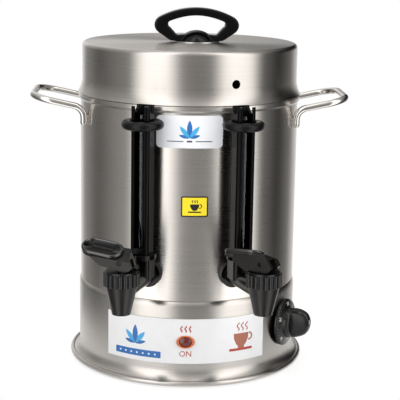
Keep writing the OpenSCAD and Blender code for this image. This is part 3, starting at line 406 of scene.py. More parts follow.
STEEL = (0.56, 0.535, 0.505)
# The tank wall, base and lid are one steel. The wall's copy is painted lighter and the base's and lid's copies are
# painted darker: this is painted light and shade for how each part reflects the room and the floor.
WALL_PAINTED_LIGHT, BASE_PAINTED_SHADE, LID_PAINTED_SHADE = 1.07, 0.87, 0.85
SHEET_FINISH = {"rough": 0.28, "lines": 800.0, "anisotropy": 0.85}
steel_wall_painted_light = brushed_steel("steel_wall_painted_light", [c * WALL_PAINTED_LIGHT for c in STEEL], **SHEET_FINISH)
steel_base_painted_shade = brushed_steel("steel_base_painted_shade", [c * BASE_PAINTED_SHADE for c in STEEL], **SHEET_FINISH)
steel_lid_painted_shade = brushed_steel("steel_lid_painted_shade", [c * LID_PAINTED_SHADE for c in STEEL], **SHEET_FINISH)
steel_inner = brushed_steel("steel_inner", (0.6, 0.58, 0.55), 0.34, 1100.0, 0.6)
steel_rod = drawn_steel("steel_rod", (0.62, 0.6, 0.57), 0.14)
steel_bright = drawn_steel("steel_bright", (0.66, 0.65, 0.63), 0.2)
heater_tube = drawn_steel("heater_tube", (0.3, 0.27, 0.25), 0.42)
brass_nut = drawn_steel("brass_nut", (0.72, 0.53, 0.22), 0.25)
weld_steel = drawn_steel("weld_steel", (0.42, 0.4, 0.38), 0.35)
DEEP_BLACK, SOFT_BLACK = (0.002, 0.002, 0.0022), (0.004, 0.004, 0.0042)
black_gloss = moulded("black_gloss", DEEP_BLACK, 0.08, 0.0007, shine=0.2)
black_satin = moulded("black_satin", (0.0085, 0.008, 0.0075), 0.28, 0.0006, shine=0.3)
black_polish = moulded("black_polish", DEEP_BLACK, 0.06, 0.0004, shine=0.9)
black_guard = moulded("black_guard", DEEP_BLACK, 0.16, 0.0006, shine=0.08)
black_collar = moulded("black_collar", SOFT_BLACK, 0.2, 0.0006, shine=0.45)
black_knob = moulded("black_knob", (0.006, 0.006, 0.006), 0.2, 0.0005, shine=0.35)
black_rubber = moulded("black_rubber", SOFT_BLACK, 0.26, 0.0005, grain=0.00006, shine=0.16)
pale_silicone = moulded("pale_silicone", (0.66, 0.66, 0.63), 0.5, 0.0003)
panel_white = painted("panel_white", (0.82, 0.83, 0.85), 0.3)
plate_silver = painted("plate_silver", (0.78, 0.8, 0.84), 0.3)
print_blue = painted("print_blue", (0.02, 0.14, 0.42))
print_sky = painted("print_sky", (0.06, 0.38, 0.7))
print_dark = painted("print_dark", (0.05, 0.055, 0.07))
print_red = painted("print_red", (0.42, 0.05, 0.03))
print_wood = painted("print_wood", (0.36, 0.12, 0.07))
label_yellow = painted("label_yellow", (0.88, 0.72, 0.02))
label_black = painted("label_black", (0.012, 0.012, 0.012))
mark_white = painted("mark_white", (0.7, 0.7, 0.7))
mark_grey = painted("mark_grey", (0.16, 0.16, 0.16))
lamp_amber = moulded("lamp_amber", (0.62, 0.13, 0.015), 0.18, 0.0003, coat=0.5)
lamp_red = moulded("lamp_red", (0.13, 0.012, 0.006), 0.12, 0.0, coat=0.3)
gauge_clear = clear("gauge_clear", (0.2, 0.24, 0.3), 0.02, 1.47)

SLOT_FINISH = {
    "steel": steel_inner, "heater_steel": heater_tube, "brass": brass_nut, "black_plastic": black_gloss,
    "tap_plastic": black_gloss, "rubber": black_rubber, "silicone": pale_silicone, "panel": panel_white,
    "lamp_lens": lamp_amber, "gauge_glass": gauge_clear}
NODE_FINISH = {
    "tank_shell": steel_wall_painted_light, "base_shell": steel_base_painted_shade, "lid_shell": steel_lid_painted_shade,
    "side_handle_left": steel_rod, "side_handle_right": steel_rod, "lid_handle_washer": steel_bright,
    "lid_handle_screw": steel_bright, "thermostat_nut": steel_bright, "tie_studs": steel_bright,
    "tie_nuts": steel_bright, "tea_tap_pin": black_gloss, "water_tap_pin": black_gloss,
    "tea_tap_spring": steel_bright, "water_tap_spring": steel_bright, "pilot_lamp_body": black_satin,
    "thermostat_body": black_satin, "cord_gland": black_satin, "tea_tap_spout": black_satin,
    "water_tap_spout": black_satin, "tea_gauge_guard": black_guard, "water_gauge_guard": black_guard,
    "tea_tap_collar": black_collar, "water_tap_collar": black_collar,
    "tea_tap_lever": black_satin, "water_tap_lever": black_satin}


def finish_nodes():
    """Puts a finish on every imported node."""
    for sub in frame["record"]["subparts"]:
        obj = nodes[sub["node"]]
        material = NODE_FINISH.get(sub["node"], SLOT_FINISH[sub["material_slot"]])
        if not obj.material_slots:
            obj.data.materials.append(material)
        for place in obj.material_slots:
            place.material = material


finish_nodes()


# Side handles: the part's rod loop, with a round section and domed ends

ROD_D, LEG_SPAN, LOOP_REACH, LOOP_CORNER = 6.5, 82.0, 47.0, 20.0
LOOP_TILT, LEG_H, LOOP_DROP, LEG_BEND = 12.0, 17.0, 11.5, 11.0
# The rod stays this much inside its solid; its lowest straight step; its end's radius in shares
ROD_SKIN, FOOT_STEP = 0.07, 3.0
ROD_DOME = (0.0, 0.55, 0.83, 0.96, 1.0)
LEG_X = math.sqrt((TANK_R + ROD_D / 2 + WELD_GAP) ** 2 - (LEG_SPAN / 2) ** 2)
LOOP_Z = RIM_Z - LOOP_DROP
LOOP_L = (TANK_R + LOOP_REACH - ROD_D / 2 - LEG_X) / math.cos(math.radians(LOOP_TILT))
UP = Vector((0, 0, 1))


def half_loop(y):
    """Half of a side handle, from the foot of its leg to the middle of its cross bar."""
    tilt = math.radians(LOOP_TILT)
    out, side = Vector((math.cos(tilt), 0, math.sin(tilt))), Vector((0, y, 0))
    leg = Vector((LEG_X, y * LEG_SPAN / 2, LOOP_Z))
    knee = LEG_BEND * math.tan(math.radians(90 - LOOP_TILT) / 2)
    corner = leg + (LOOP_L - LOOP_CORNER) * out - LOOP_CORNER * side
    foot = [leg - LEG_H * UP, leg - (LEG_H - FOOT_STEP) * UP]
    elbow = leg - knee * UP + Vector((LEG_BEND, 0, 0))
    return (foot + bend(elbow, LEG_BEND, Vector((-1, 0, 0)), UP, 0, 90 - LOOP_TILT, 12)
            + bend(corner, LOOP_CORNER, side, out, 0, 90, 20)
            + [corner - y * Vector((0, LEG_SPAN / 2 - LOOP_CORNER, 0)) + LOOP_CORNER * out])


def side_handle(side, name):
    path = half_loop(-1) + half_loop(1)[::-1]
    path = spaced([Vector((side * q.x, q.y, q.z)) for q in path])
    ends = list(ROD_DOME) + [1.0] * (len(path) - 2) + list(ROD_DOME[::-1])
    rises = [UP * ROD_D / 2 * (1 - math.sqrt(1 - d * d)) for d in ROD_DOME]
    whole = ([path[0] + rise for rise in rises] + path[1:-1]
             + [path[-1] + rise for rise in rises[::-1]])
    bm = bmesh.new()
    ring = arc(0, 0, ROD_D / 2 - ROD_SKIN, 0, 360, 24)[:-1]

    def section(i):
        share = max(ends[i], 0.02)
        return [(x * share, y * share) for x, y in ring]
    sweep(bm, whole, section, Vector((1, 0, 0)))
    return piece(name, bm, steel_rod, "boiler", smooth=60)


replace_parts(side_handle(-1, "handle_loop_left"), "side_handle_left")
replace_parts(side_handle(1, "handle_loop_right"), "side_handle_right")


# Lid handle: the part's bow with its outer outline, broader limbs, bevelled edges and a smooth dome

BOW_W, BOW_H, BOW_END_H, BOW_SLOPE = 81.0, 32.5, 15.8, 40.0
BOW_FOOT_T, BOW_T, BOW_CROWN_T, BOW_DEPTH, BOW_END_R = 5.0, 8.5, 7.0, 16.0, 5.0
BOSS_D, BOSS_H, BOSS_DOME_R, HANDLE_X, FOOT_BEND = 34.0, 10.0, 20.0, 6.0, 6.0
BOW_BEVEL, DOME_STEPS = 1.6, 12
# Breadth of the limbs from the outer outline inwards, and where the eye of the bow draws them to
FOOT_BREADTH, END_BREADTH, CROWN_BREADTH, BOW_EYE_H, BOW_PULL = 7.0, 13.5, 7.4, 17.0, 0.45
HANDLE_Z = LID_TOP_Z + 1.0
BOW_FOOT_Z = HANDLE_Z + BOW_FOOT_T / 2
BOW_END_X = BOW_W / 2 - BOW_END_R - BOW_T / 2
BOW_END_Z = LID_TOP_Z + BOW_END_H
BOW_TOP_Z = LID_TOP_Z + BOW_H - BOW_CROWN_T / 2
BOW_RISE = BOW_TOP_Z - BOW_END_Z
CROWN_R = (BOW_END_X ** 2 + BOW_RISE ** 2 - BOW_END_R ** 2) / (2 * (BOW_RISE - BOW_END_R))
BOW_TURN = math.degrees(math.asin(BOW_END_X / (CROWN_R - BOW_END_R)))


def half_bow(x):
    """Half of the bow, from its foot to its crown."""
    slope = math.radians(BOW_SLOPE)
    limb_x = BOW_END_X + BOW_END_R * math.sin(slope)
    limb_z = BOW_END_Z - BOW_END_R * math.cos(slope)
    foot_x = limb_x - (limb_z - BOW_FOOT_Z) / math.tan(slope) - FOOT_BEND * math.tan(slope / 2)
    crown = bend((BOW_TOP_Z - CROWN_R) * UP, CROWN_R, x, UP, 90 - BOW_TURN, 90, 20)
    return ([BOW_FOOT_Z * UP]
            + bend(foot_x * x + (BOW_FOOT_Z + FOOT_BEND) * UP, FOOT_BEND, x, UP, -90, BOW_SLOPE - 90, 8)
            + bend(BOW_END_X * x + BOW_END_Z * UP, BOW_END_R, x, UP, BOW_SLOPE - 90, 90 - BOW_TURN, 20)
            + crown)


def along_bow(z, foot, end, crown, power=1.0):
    """A value that changes from the foot to the end, by that power of the height, and on to the crown."""
    if z < BOW_END_Z:
        share = max(z - BOW_FOOT_Z, 0.0) / (BOW_END_Z - BOW_FOOT_Z)
        return foot + (end - foot) * share ** power
    return end + (crown - end) * (z - BOW_END_Z) / BOW_RISE


def lid_bow():
    path = half_bow(Vector((1, 0, 0))) + half_bow(Vector((-1, 0, 0)))[::-1]
    path = spaced([q + Vector((HANDLE_X, 0, 0)) for q in path])

    loops = []
    inward = UP
    for i, q in enumerate(path):
        ahead = (path[min(i + 1, len(path) - 1)] - path[max(i - 1, 0)]).normalized()
        inward = (inward - inward.dot(ahead) * ahead).normalized()
        outer = q - along_bow(q.z, BOW_FOOT_T, BOW_T, BOW_CROWN_T) / 2 * inward
        eye = Vector((HANDLE_X + BOW_PULL * (outer.x - HANDLE_X), 0, LID_TOP_Z + BOW_EYE_H))
        across = (eye - outer).normalized()
        broad = along_bow(q.z, FOOT_BREADTH, END_BREADTH, CROWN_BREADTH, 0.5)
        middle = outer + broad / 2 * across
        section = rounded_box(broad, BOW_DEPTH, BOW_BEVEL, 4)
        loops.append([(middle + x * across + Vector((0, y, 0))) * MM for x, y in section])
    bm = bmesh.new()
    loft(bm, loops)
    middle = Vector((HANDLE_X, 0, HANDLE_Z))
    edge = math.degrees(math.acos(1 - BOSS_H / BOSS_DOME_R))
    dome = [Vector((BOSS_D / 2, 0, 0))]
    for i in range(DOME_STEPS + 1):
        a = math.radians(edge * (1 - i / DOME_STEPS))
        dome.append(Vector((BOSS_DOME_R * math.sin(a), 0, BOSS_H - BOSS_DOME_R * (1 - math.cos(a)))))
    loops = []
    for q in dome:
        r = max(q.x, 0.05)
        loops.append([(middle + Vector((x, y, q.z))) * MM for x, y in arc(0, 0, r, 0, 360, 48)[:-1]])
    loft(bm, loops)
    return piece("lid_bow", bm, black_gloss, "lid", smooth=50)


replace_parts(lid_bow(), "lid_handle")


# Levers: a rolled rim and a thumb dish on each slanted paddle

LEVER_L, LEVER_W, LEVER_TOP, PADDLE_L = 38.0, 20.0, 8.5, 37.0
LEVER_SLANT, LEVER_PITCH = 25.0, 6.0
RIM_R, RIM_SINK, RIM_STEPS = 1.5, 0.2, 16
# The dish: inset of its edge, its underside, the height of its edge, its depth and its steps
DISH_INSET, DISH_BACK, DISH_EDGE, DISH_DEPTH, DISH_STEPS = 1.2, -1.18, 0.9, 1.1, 12


def paddle_frame(tap, side):
    """Place of the paddle's top face, from the lever's own hinge."""
    hinge = joints[tap + "_tap_tilt"]
    axis = Vector(hinge["axis"])
    heading = math.atan2(-axis.y, -axis.x)
    tilt = math.radians(-hinge["range_deg"][0])
    pin = Matrix.Translation(Vector(hinge["pos_m"]) / MM)
    return (pin @ Matrix.Rotation(heading, 4, "Z") @ Matrix.Rotation(-tilt, 4, "X")
            @ Matrix.Translation((0, 0, LEVER_TOP))
            @ Matrix.Rotation(math.radians(-side * LEVER_SLANT), 4, "Y")
            @ Matrix.Rotation(math.radians(LEVER_PITCH), 4, "X")
            @ Matrix.Translation((0, PADDLE_L / 2 - LEVER_L, 0)) @ Matrix.Rotation(math.pi / 2, 4, "Z"))


def paddle_trim(tap, side):
    place = paddle_frame(tap, side)

    def loop(inset, z):
        outline = slot_outline(PADDLE_L - 2 * inset, LEVER_W - 2 * inset, 16)
        return [place @ Vector((x, y, z)) * MM for x, y in outline]
    rim = bmesh.new()
    turns = [math.radians(360 * i / RIM_STEPS) for i in range(RIM_STEPS)]
    rolls = [loop(RIM_R * 0.6 - RIM_R * math.cos(a), RIM_R * math.sin(a) - RIM_SINK) for a in turns]
    loft(rim, rolls, ring=True)
    piece(tap + "_lever_rim", rim, black_polish, tap + "_tap_lever", smooth=80)
    dish = bmesh.new()
    loops = [loop(DISH_INSET, DISH_BACK)]
    for i in range(DISH_STEPS + 1):
        t = i / DISH_STEPS
        sink = (DISH_EDGE + DISH_DEPTH) * math.sin(t * math.pi / 2)
        loops.append(loop(DISH_INSET + t * (LEVER_W / 2 - 1.4), DISH_EDGE - sink))
    loft(dish, loops)
    piece(tap + "_lever_dish", dish, black_gloss, tap + "_tap_lever", smooth=80)


paddle_trim("tea", -1)
paddle_trim("water", 1)


# Pilot lamp: an oval amber frame round a cut red lens

LAMP_W, LAMP_H, LAMP_OUT, LAMP_Z = 17.0, 12.0, 2.5, 43.0
LAMP_FACE_R = BASE_R + PANEL_T + 2 * WELD_GAP
LENS_W, LENS_H, LENS_CUTS, LENS_RINGS = 11.8, 10.2, 18, 4
LENS_SEAT, LENS_EDGE, LENS_DOME, BEZEL_EASE = 0.2, 0.8, 1.4, 0.7


def pilot_lamp():
    place = drum_frame(LAMP_FACE_R, BASE_TURN, LAMP_Z)

    def loop(width, height, z, n=48, turn=0.0):
        angles = (2 * math.pi * (i + turn) / n for i in range(n))
        return [place @ Vector((width / 2 * math.cos(t), height / 2 * math.sin(t), z)) * MM for t in angles]
    bezel = bmesh.new()
    lip = LAMP_OUT - BEZEL_EASE
    profile = [(0, 0), (0, lip * 0.6), (0.15, lip), (0.5, LAMP_OUT - 0.4), (0.9, lip), (1, LENS_SEAT)]
    rings = [loop(LAMP_W + (LENS_W - LAMP_W) * t, LAMP_H + (LENS_H - LAMP_H) * t, z) for t, z in profile]
    loft(bezel, rings, ring=True)
    piece("lamp_bezel", bezel, lamp_amber, "boiler", smooth=70)
    lens = bmesh.new()
    loops = [loop(LENS_W, LENS_H, LENS_SEAT, LENS_CUTS)]
    for i in range(LENS_RINGS + 1):
        t = i / LENS_RINGS
        share = 1 - 0.9 * t
        z = LENS_EDGE + LENS_DOME * math.sin(t * math.pi / 2)
        loops.append(loop(LENS_W * share, LENS_H * share, z, LENS_CUTS, i % 2 / 2))
    loft(lens, loops)
    dome = piece("lamp_lens", lens, lamp_red, "boiler", smooth=5)
    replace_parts(dome, "pilot_lamp_lens")


pilot_lamp()


# Geometry Nodes: marks on the dial and ripples of the weld beads

def node_tree(name, inputs):
    """A Geometry Nodes tree with named number inputs."""
    tree = bpy.data.node_groups.new(name, "GeometryNodeTree")
    tree.interface.new_socket("Geometry", in_out="OUTPUT", socket_type="NodeSocketGeometry")
    for label, kind in inputs.items():
        tree.interface.new_socket(label, in_out="INPUT", socket_type=kind)
    return tree, tree.nodes.new("NodeGroupInput"), tree.nodes.new("NodeGroupOutput")


def grown(tree, values):
    """The tree's result as a bmesh in millimetres."""
    mesh = bpy.data.meshes.new("seed")
    obj = bpy.data.objects.new("seed", mesh)
    bpy.context.scene.collection.objects.link(obj)
    modifier = obj.modifiers.new("grow", "NODES")
    modifier.node_group = tree
    for item in tree.interface.items_tree:
        if item.item_type == "SOCKET" and item.in_out == "INPUT":
            modifier[item.identifier] = values[item.name]
    graph = bpy.context.evaluated_depsgraph_get()
    result = bpy.data.meshes.new_from_object(obj.evaluated_get(graph))
    bpy.data.objects.remove(obj)
    bpy.data.meshes.remove(mesh)
    bm = bmesh.new()
    bm.from_mesh(result)
    bpy.data.meshes.remove(result)
    return bm


NUMBER, COUNT, PAINT = "NodeSocketFloat", "NodeSocketInt", "NodeSocketMaterial"


def painted_out(tree, geometry, given, out):
    """Ends a tree with its finish on the geometry."""
    done = add(tree, "GeometryNodeSetMaterial", {
        "Geometry": geometry, "Material": given.outputs["Finish"]})
    tree.links.new(done.outputs[0], out.inputs[0])
    return tree


def dial_marks_tree():
    """Radial bars on a circle, from one angle to another."""
    tree, given, out = node_tree("dial_marks", {
        "Marks": COUNT, "Radius": NUMBER, "Length": NUMBER, "Width": NUMBER, "Height": NUMBER,
        "First": NUMBER, "Step": NUMBER, "Finish": PAINT})
    index = add(tree, "GeometryNodeInputIndex").outputs[0]
    angle = maths(tree, "MULTIPLY_ADD", index, given.outputs["Step"], given.outputs["First"])
    x = maths(tree, "MULTIPLY", maths(tree, "COSINE", angle), given.outputs["Radius"])
    y = maths(tree, "MULTIPLY", maths(tree, "SINE", angle), given.outputs["Radius"])
    spot = add(tree, "ShaderNodeCombineXYZ", {"X": x, "Y": y}).outputs[0]
    points = add(tree, "GeometryNodePoints", {"Count": given.outputs["Marks"], "Position": spot})
    size = add(tree, "ShaderNodeCombineXYZ", {
        "X": given.outputs["Length"], "Y": given.outputs["Width"], "Z": given.outputs["Height"]}).outputs[0]
    bar = add(tree, "GeometryNodeMeshCube", {"Size": size})
    spin = add(tree, "ShaderNodeCombineXYZ", {"Z": angle}).outputs[0]
    turn = add(tree, "FunctionNodeEulerToRotation", {0: spin}).outputs[0]
    bars = add(tree, "GeometryNodeInstanceOnPoints", {
        "Points": points.outputs[0], "Instance": bar.outputs["Mesh"], "Rotation": turn})
    real = add(tree, "GeometryNodeRealizeInstances", {0: bars.outputs[0]})
    return painted_out(tree, real.outputs[0], given, out)


def weld_bead_tree():
    """A row of overlapping drops along Z, as a weld bead leaves them."""
    tree, given, out = node_tree("weld_bead", {
        "Drops": COUNT, "Pitch": NUMBER, "Radius": NUMBER, "Wander": NUMBER, "Finish": PAINT})
    index = add(tree, "GeometryNodeInputIndex").outputs[0]
    shake = add(tree, "FunctionNodeRandomValue", {"ID": index, "Seed": 7}, data_type="FLOAT")
    wander = maths(tree, "MULTIPLY", maths(tree, "SUBTRACT", shake.outputs[1], 0.5), given.outputs["Wander"])
    up = maths(tree, "MULTIPLY", index, given.outputs["Pitch"])
    spot = add(tree, "ShaderNodeCombineXYZ", {"X": wander, "Z": up}).outputs[0]
    points = add(tree, "GeometryNodePoints", {"Count": given.outputs["Drops"], "Position": spot})
    drop = add(tree, "GeometryNodeMeshIcoSphere", {"Radius": given.outputs["Radius"], "Subdivisions": 2})
    drops = add(tree, "GeometryNodeInstanceOnPoints", {
        "Points": points.outputs[0], "Instance": drop.outputs["Mesh"]})
    real = add(tree, "GeometryNodeRealizeInstances", {0: drops.outputs[0]})
    return painted_out(tree, real.outputs[0], given, out)


KNOB_AZ, KNOB_Z, SKIRT_T = 60.0, 46.0, 4.5
KNOB_BACK_R = BASE_R + PANEL_T + 0.3
KNOB_FRAME = drum_frame(KNOB_BACK_R, KNOB_AZ, KNOB_Z)
HUB_H, GRIP_H, GRIP_T, GRIP_LEAN = 6.0, 16.0, 12.0, 1.6
MARK_T, DIAL_MARKS, DIAL_FIRST, DIAL_STEP = 0.15, 28, -45.0, 10.0
DIGIT_H, DIGIT_FIRST, DIGIT_STEP = 4.4, 225.0, 67.5
# Half section of the skirt and hub as radius and height, and the grip's length over its height
KNOB_SIDE = ((22.5, 0.0), (22.5, 1.6), (22.1, 2.4), (21.2, 3.0), (15.2, 4.4), (14.4, 5.0), (14.3, 7.0),
             (13.8, 8.8), (12.8, 9.9), (11.2, 10.4), (4.0, 10.5))
GRIP_SIDE = ((-1.5, 29.0), (2.0, 29.0), (6.0, 27.6), (9.5, 25.2), (12.0, 22.4), (13.8, 19.0), (15.0, 15.6),
             (15.7, 12.4), (16.0, 9.0))


def on_skirt(turn):
    """Place on the skirt's sloping face: u runs round it, v outwards from the middle of the slope."""
    (r0, z0), (r1, z1) = KNOB_SIDE[3], KNOB_SIDE[4]

    def place(u, v, w):
        q = Vector(((r0 + r1) / 2 + v, -u, 0))
        z = z0 + (z1 - z0) * (r0 - q.length) / (r0 - r1)
        spin = KNOB_FRAME @ Matrix.Rotation(math.radians(turn), 4, "Z")
        return spin @ Vector((q.x, q.y, z + w))
    return place


def knob():
    place = KNOB_FRAME
    bm = bmesh.new()
    rounds = [(arc(0, 0, r, 0, 360, 72)[:-1], z) for r, z in KNOB_SIDE]
    loft(bm, [[place @ Vector((x, y, z)) * MM for x, y in ring] for ring, z in rounds])
    base = SKIRT_T + HUB_H
    loops = []
    for z, length in GRIP_SIDE:
        thick = min(GRIP_T * (1 - 0.35 * max(z / GRIP_H, 0) ** 3), length)
        lean = GRIP_LEAN * (0.5 + z / GRIP_H)
        outline = slot_outline(length, thick, 10)
        loops.append([place @ Vector((y, x + lean, base + z)) * MM for x, y in outline])
    loft(bm, loops)
    body = piece("knob_body", bm, black_knob, "thermostat_knob", smooth=35)
    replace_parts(body, "thermostat_knob")


def knob_marks():
    marks = grown(dial_marks_tree(), {
        "Marks": DIAL_MARKS, "Radius": KNOB_SIDE[3][0] - 0.9,
        "Length": 1.0, "Width": 0.4, "Height": 2 * MARK_T,
        "First": math.radians(DIAL_FIRST), "Step": math.radians(DIAL_STEP), "Finish": mark_grey})
    place = KNOB_FRAME @ Matrix.Translation((0, 0, KNOB_SIDE[3][1] + 2 * MARK_T))
    for vert in marks.verts:
        vert.co = place @ vert.co * MM
    piece("knob_ticks", marks, mark_grey, "thermostat_knob")
    for i, text in enumerate(("30", "50", "70", "90", "110")):
        digits = printed(lettering(text, DIGIT_H), on_skirt(DIGIT_FIRST - DIGIT_STEP * i), MARK_T)
        piece("knob_number_" + text, digits, mark_white, "thermostat_knob")
    tip = KNOB_FRAME @ Matrix.Translation((0, 0, SKIRT_T + HUB_H + GRIP_H))
    line = placed([slot_outline(5.0, 1.1)], lambda u, v, w: tip @ Vector((v, u + 2 * GRIP_LEAN, w)), MARK_T)
    piece("knob_pointer", line, mark_white, "thermostat_knob")


# A bead's angle from its leg in radians, and its start above the leg's foot
BEAD_TURN, BEAD_UP = 0.011, 2.2


def weld_beads():
    tree = weld_bead_tree()
    for side, label in ((-1, "left"), (1, "right")):
        for end, where in ((-1, "front"), (1, "back")):
            bead = bmesh.new()
            for flank in (-1, 1):
                drops = grown(tree, {"Drops": 9, "Pitch": 0.9, "Radius": 1.1, "Wander": 0.3,
                                     "Finish": weld_steel})
                a = math.atan2(LEG_X, -end * LEG_SPAN / 2) + flank * BEAD_TURN
                foot = Vector((side * TANK_R * math.sin(a), -TANK_R * math.cos(a), LOOP_Z - LEG_H + BEAD_UP))
                mesh = bpy.data.meshes.new("drops")
                for vert in drops.verts:
                    vert.co = (foot + vert.co) * MM
                drops.to_mesh(mesh)
                drops.free()
                bead.from_mesh(mesh)
                bpy.data.meshes.remove(mesh)
            piece(f"weld_bead_{label}_{where}", bead, weld_steel, "boiler", smooth=60)


knob()
knob_marks()
weld_beads()


# Plate and label on the tank

PLATE_W, PLATE_H, PLATE_AZ, PLATE_Z = 60.5, 29.6, -1.5, 238.8
LABEL_W, LABEL_H, LABEL_AZ, LABEL_Z = 24.6, 19.0, 1.5, 170.5
PRINT_T = 0.12


def wall_print(name, outlines, place, material, lift=0.0):
    bm = placed(outlines, lambda u, v, w: place(u, v, w + lift), PRINT_T)
    return piece(name, bm, material, "boiler")


def sprig(cx, cy, size):
    """Leaves fanned from one stalk."""
    fan = ((90, 1.0), (50, 0.86), (130, 0.86), (14, 0.62), (166, 0.62))
    return [leaf(cx, cy, size * share, size * 0.3 * share, angle) for angle, share in fan]


def wisp(x, y, sway, turn, step, count, width):
    """A rising wavy band that starts at (x, y)."""
    return ribbon([(x + sway * math.sin(t * turn), y + step * t) for t in range(count)], width)


def tank_plate():
    place = on_wall(TANK_R + WELD_GAP, PLATE_AZ, PLATE_Z)
    wall_print("tank_plate", [rounded_box(PLATE_W, PLATE_H, 4)], place, plate_silver)
    leaves = sprig(0, -5.5, 16)
    wall_print("plate_leaves", [leaves[0], leaves[3], leaves[4]], place, print_blue, PRINT_T)
    wall_print("plate_leaves_light", [leaves[1], leaves[2]], place, print_sky, PRINT_T)
    lines = [shifted(rounded_box(15, 0.8, 0.35), x, -8.6) for x in (-13, 13)]
    lines.append(shifted(rounded_box(5, 1.6, 0.7), 0, -8.6))
    wall_print("plate_lines", lines, place, print_dark, PRINT_T)


def tank_label():
    place = on_wall(TANK_R + WELD_GAP, LABEL_AZ, LABEL_Z)
    wall_print("label_border", [rounded_box(LABEL_W, LABEL_H, 1.4)], place, label_black)
    wall_print("label_face", [rounded_box(LABEL_W - 2.4, LABEL_H - 2.4, 0.8)], place, label_yellow, PRINT_T)
    bowl = [(-4.2, 2.2), (-4.0, 0.2)] + arc(0, -0.6, 3.2, 195, 345, 10) + [(4.0, 0.2), (4.2, 2.2)]
    handle = ribbon(arc(4.4, 0.4, 1.9, -100, 80, 10), 0.8)
    saucer = shifted(slot_outline(12, 1.2), 0, -5)
    steam = [wisp(x, 3.4, 0.5, 1.3, 0.45, 7, 0.7) for x in (-2, 0.2, 2.4)]
    wall_print("label_cup", [bowl, handle, saucer] + steam, place, label_black, 2 * PRINT_T)


# Prints on the panel: a sprig and a bar on the left, heat waves and ON by the lamp, a cup on the right

PANEL_R = BASE_R + WELD_GAP + PANEL_T
SPRIG_AZ, CUP_AZ, BAR_Y = -26.0, 29.0, -14


def panel_prints():
    left = on_wall(PANEL_R, BASE_TURN + SPRIG_AZ, LAMP_Z)
    leaves = sprig(0, -5, 18)
    wall_print("panel_leaves", [leaves[0], leaves[3], leaves[4]], left, print_blue)
    wall_print("panel_leaves_light", [leaves[1], leaves[2]], left, print_sky)
    bar = shifted(rounded_box(47, 6.4, 0.8), 2, BAR_Y)
    wall_print("panel_bar", [bar], left, print_blue)
    dots = [shifted(arc(0, 0, 0.9, 0, 360, 12)[:-1], x, BAR_Y) for x in range(-16, 21, 6)]
    wall_print("panel_bar_dots", dots, left, panel_white, PRINT_T)
    centre = on_wall(PANEL_R, BASE_TURN, LAMP_Z)
    waves = [wisp(x, 9.2, 0.7, 1.1, 0.75, 9, 1.1) for x in (-4, 0, 4)]
    wall_print("panel_heat_waves", waves, centre, print_red)
    word = printed(lettering("ON", 7.5), lambda u, v, w: centre(u, v - 12.0, w), PRINT_T)
    piece("panel_word_on", word, print_red, "boiler")
    right = on_wall(PANEL_R, BASE_TURN + CUP_AZ, LAMP_Z)
    bowl = [(-8, 5), (-7.6, 0)] + arc(0, -1.5, 6.4, 195, 345, 14) + [(7.6, 0), (8, 5)]
    handle = ribbon(arc(8.4, 1.2, 3.4, -100, 85, 12), 1.5)
    saucer = shifted(slot_outline(25, 2.4), 0, -10.5)
    foot = [(-3, -9.6), (3, -9.6), (3.6, -7.2), (-3.6, -7.2)]
    wall_print("panel_cup", [bowl, handle], right, print_wood)
    wall_print("panel_saucer", [saucer], right, print_red, PRINT_T)
    wall_print("panel_cup_foot", [foot], right, print_wood)
    steam = [wisp(x, 7.5, 1.2, 0.9, 0.9, 10, 1.0) for x in (-3.5, 1, 5.5)]
    wall_print("panel_steam", steam, right, print_red)


tank_plate()
tank_label()
panel_prints()


# Stage: pale floor, studio light and the camera

FLOOR_R, FLOOR_CLEAR_R, FLOOR_GLOW, FLOOR_GREY = 0.22, 0.12, 0.72, 0.3


def make_floor():
    """A round pale floor that keeps the shadow and fades into the white round it."""
    material = bpy.data.materials.new("floor_paper")
    material.use_nodes = True
    tree = material.node_tree
    tree.nodes.clear()
    paths = add(tree, "ShaderNodeLightPath")
    seen = maths(tree, "MAXIMUM", paths.outputs["Is Camera Ray"], paths.outputs["Is Glossy Ray"])
    seen = maths(tree, "MAXIMUM", seen, paths.outputs["Is Transmission Ray"])
    place = add(tree, "ShaderNodeTexCoord").outputs["Object"]
    radius = add(tree, "ShaderNodeVectorMath", {0: place}, operation="LENGTH").outputs["Value"]
    fade = add(tree, "ShaderNodeMapRange", {0: radius, 1: FLOOR_CLEAR_R, 2: FLOOR_R},
               interpolation_type="SMOOTHSTEP").outputs[0]
    matt = add(tree, "ShaderNodeBsdfDiffuse", {"Color": (FLOOR_GREY, FLOOR_GREY, FLOOR_GREY, 1)})
    under = add(tree, "ShaderNodeEmission", {"Strength": maths(tree, "MULTIPLY", seen, FLOOR_GLOW)})
    paper = add(tree, "ShaderNodeAddShader", {0: matt.outputs[0], 1: under.outputs[0]})
    white = add(tree, "ShaderNodeEmission", {"Strength": seen})
    both = add(tree, "ShaderNodeMixShader", {0: fade, 1: paper.outputs[0], 2: white.outputs[0]})
    add(tree, "ShaderNodeOutputMaterial", {"Surface": both.outputs[0]})
    bm = bmesh.new()
    bmesh.ops.create_circle(bm, cap_ends=True, segments=96, radius=FLOOR_R)
    mesh = bpy.data.meshes.new("floor")
    bm.to_mesh(mesh)
    bm.free()
    mesh.materials.append(material)
    floor = bpy.data.objects.new("floor", mesh)
    bpy.context.scene.collection.objects.link(floor)


# Grey of the room by azimuth in degrees, counted from the front to the right
ROOM = ((-180, 1.0), (-165, 0.88), (-140, 0.3), (-112, 0.13), (-75, 0.34), (-20, 0.42), (8, 0.3), (40, 0.34),
        (88, 0.14), (106, 0.055), (130, 0.22), (150, 0.72), (168, 0.95), (180, 1.0))
# Soft upright strip lights: azimuth of the middle, half width, softness, strength
STRIPS = ((-39.0, 20.5, 11.0, 1.95), (51.5, 21.0, 11.0, 1.9))
# Light from straight above, and the height where it starts and is full
OVERHEAD, OVERHEAD_FROM, OVERHEAD_FULL = 0.5, 0.3, 0.9
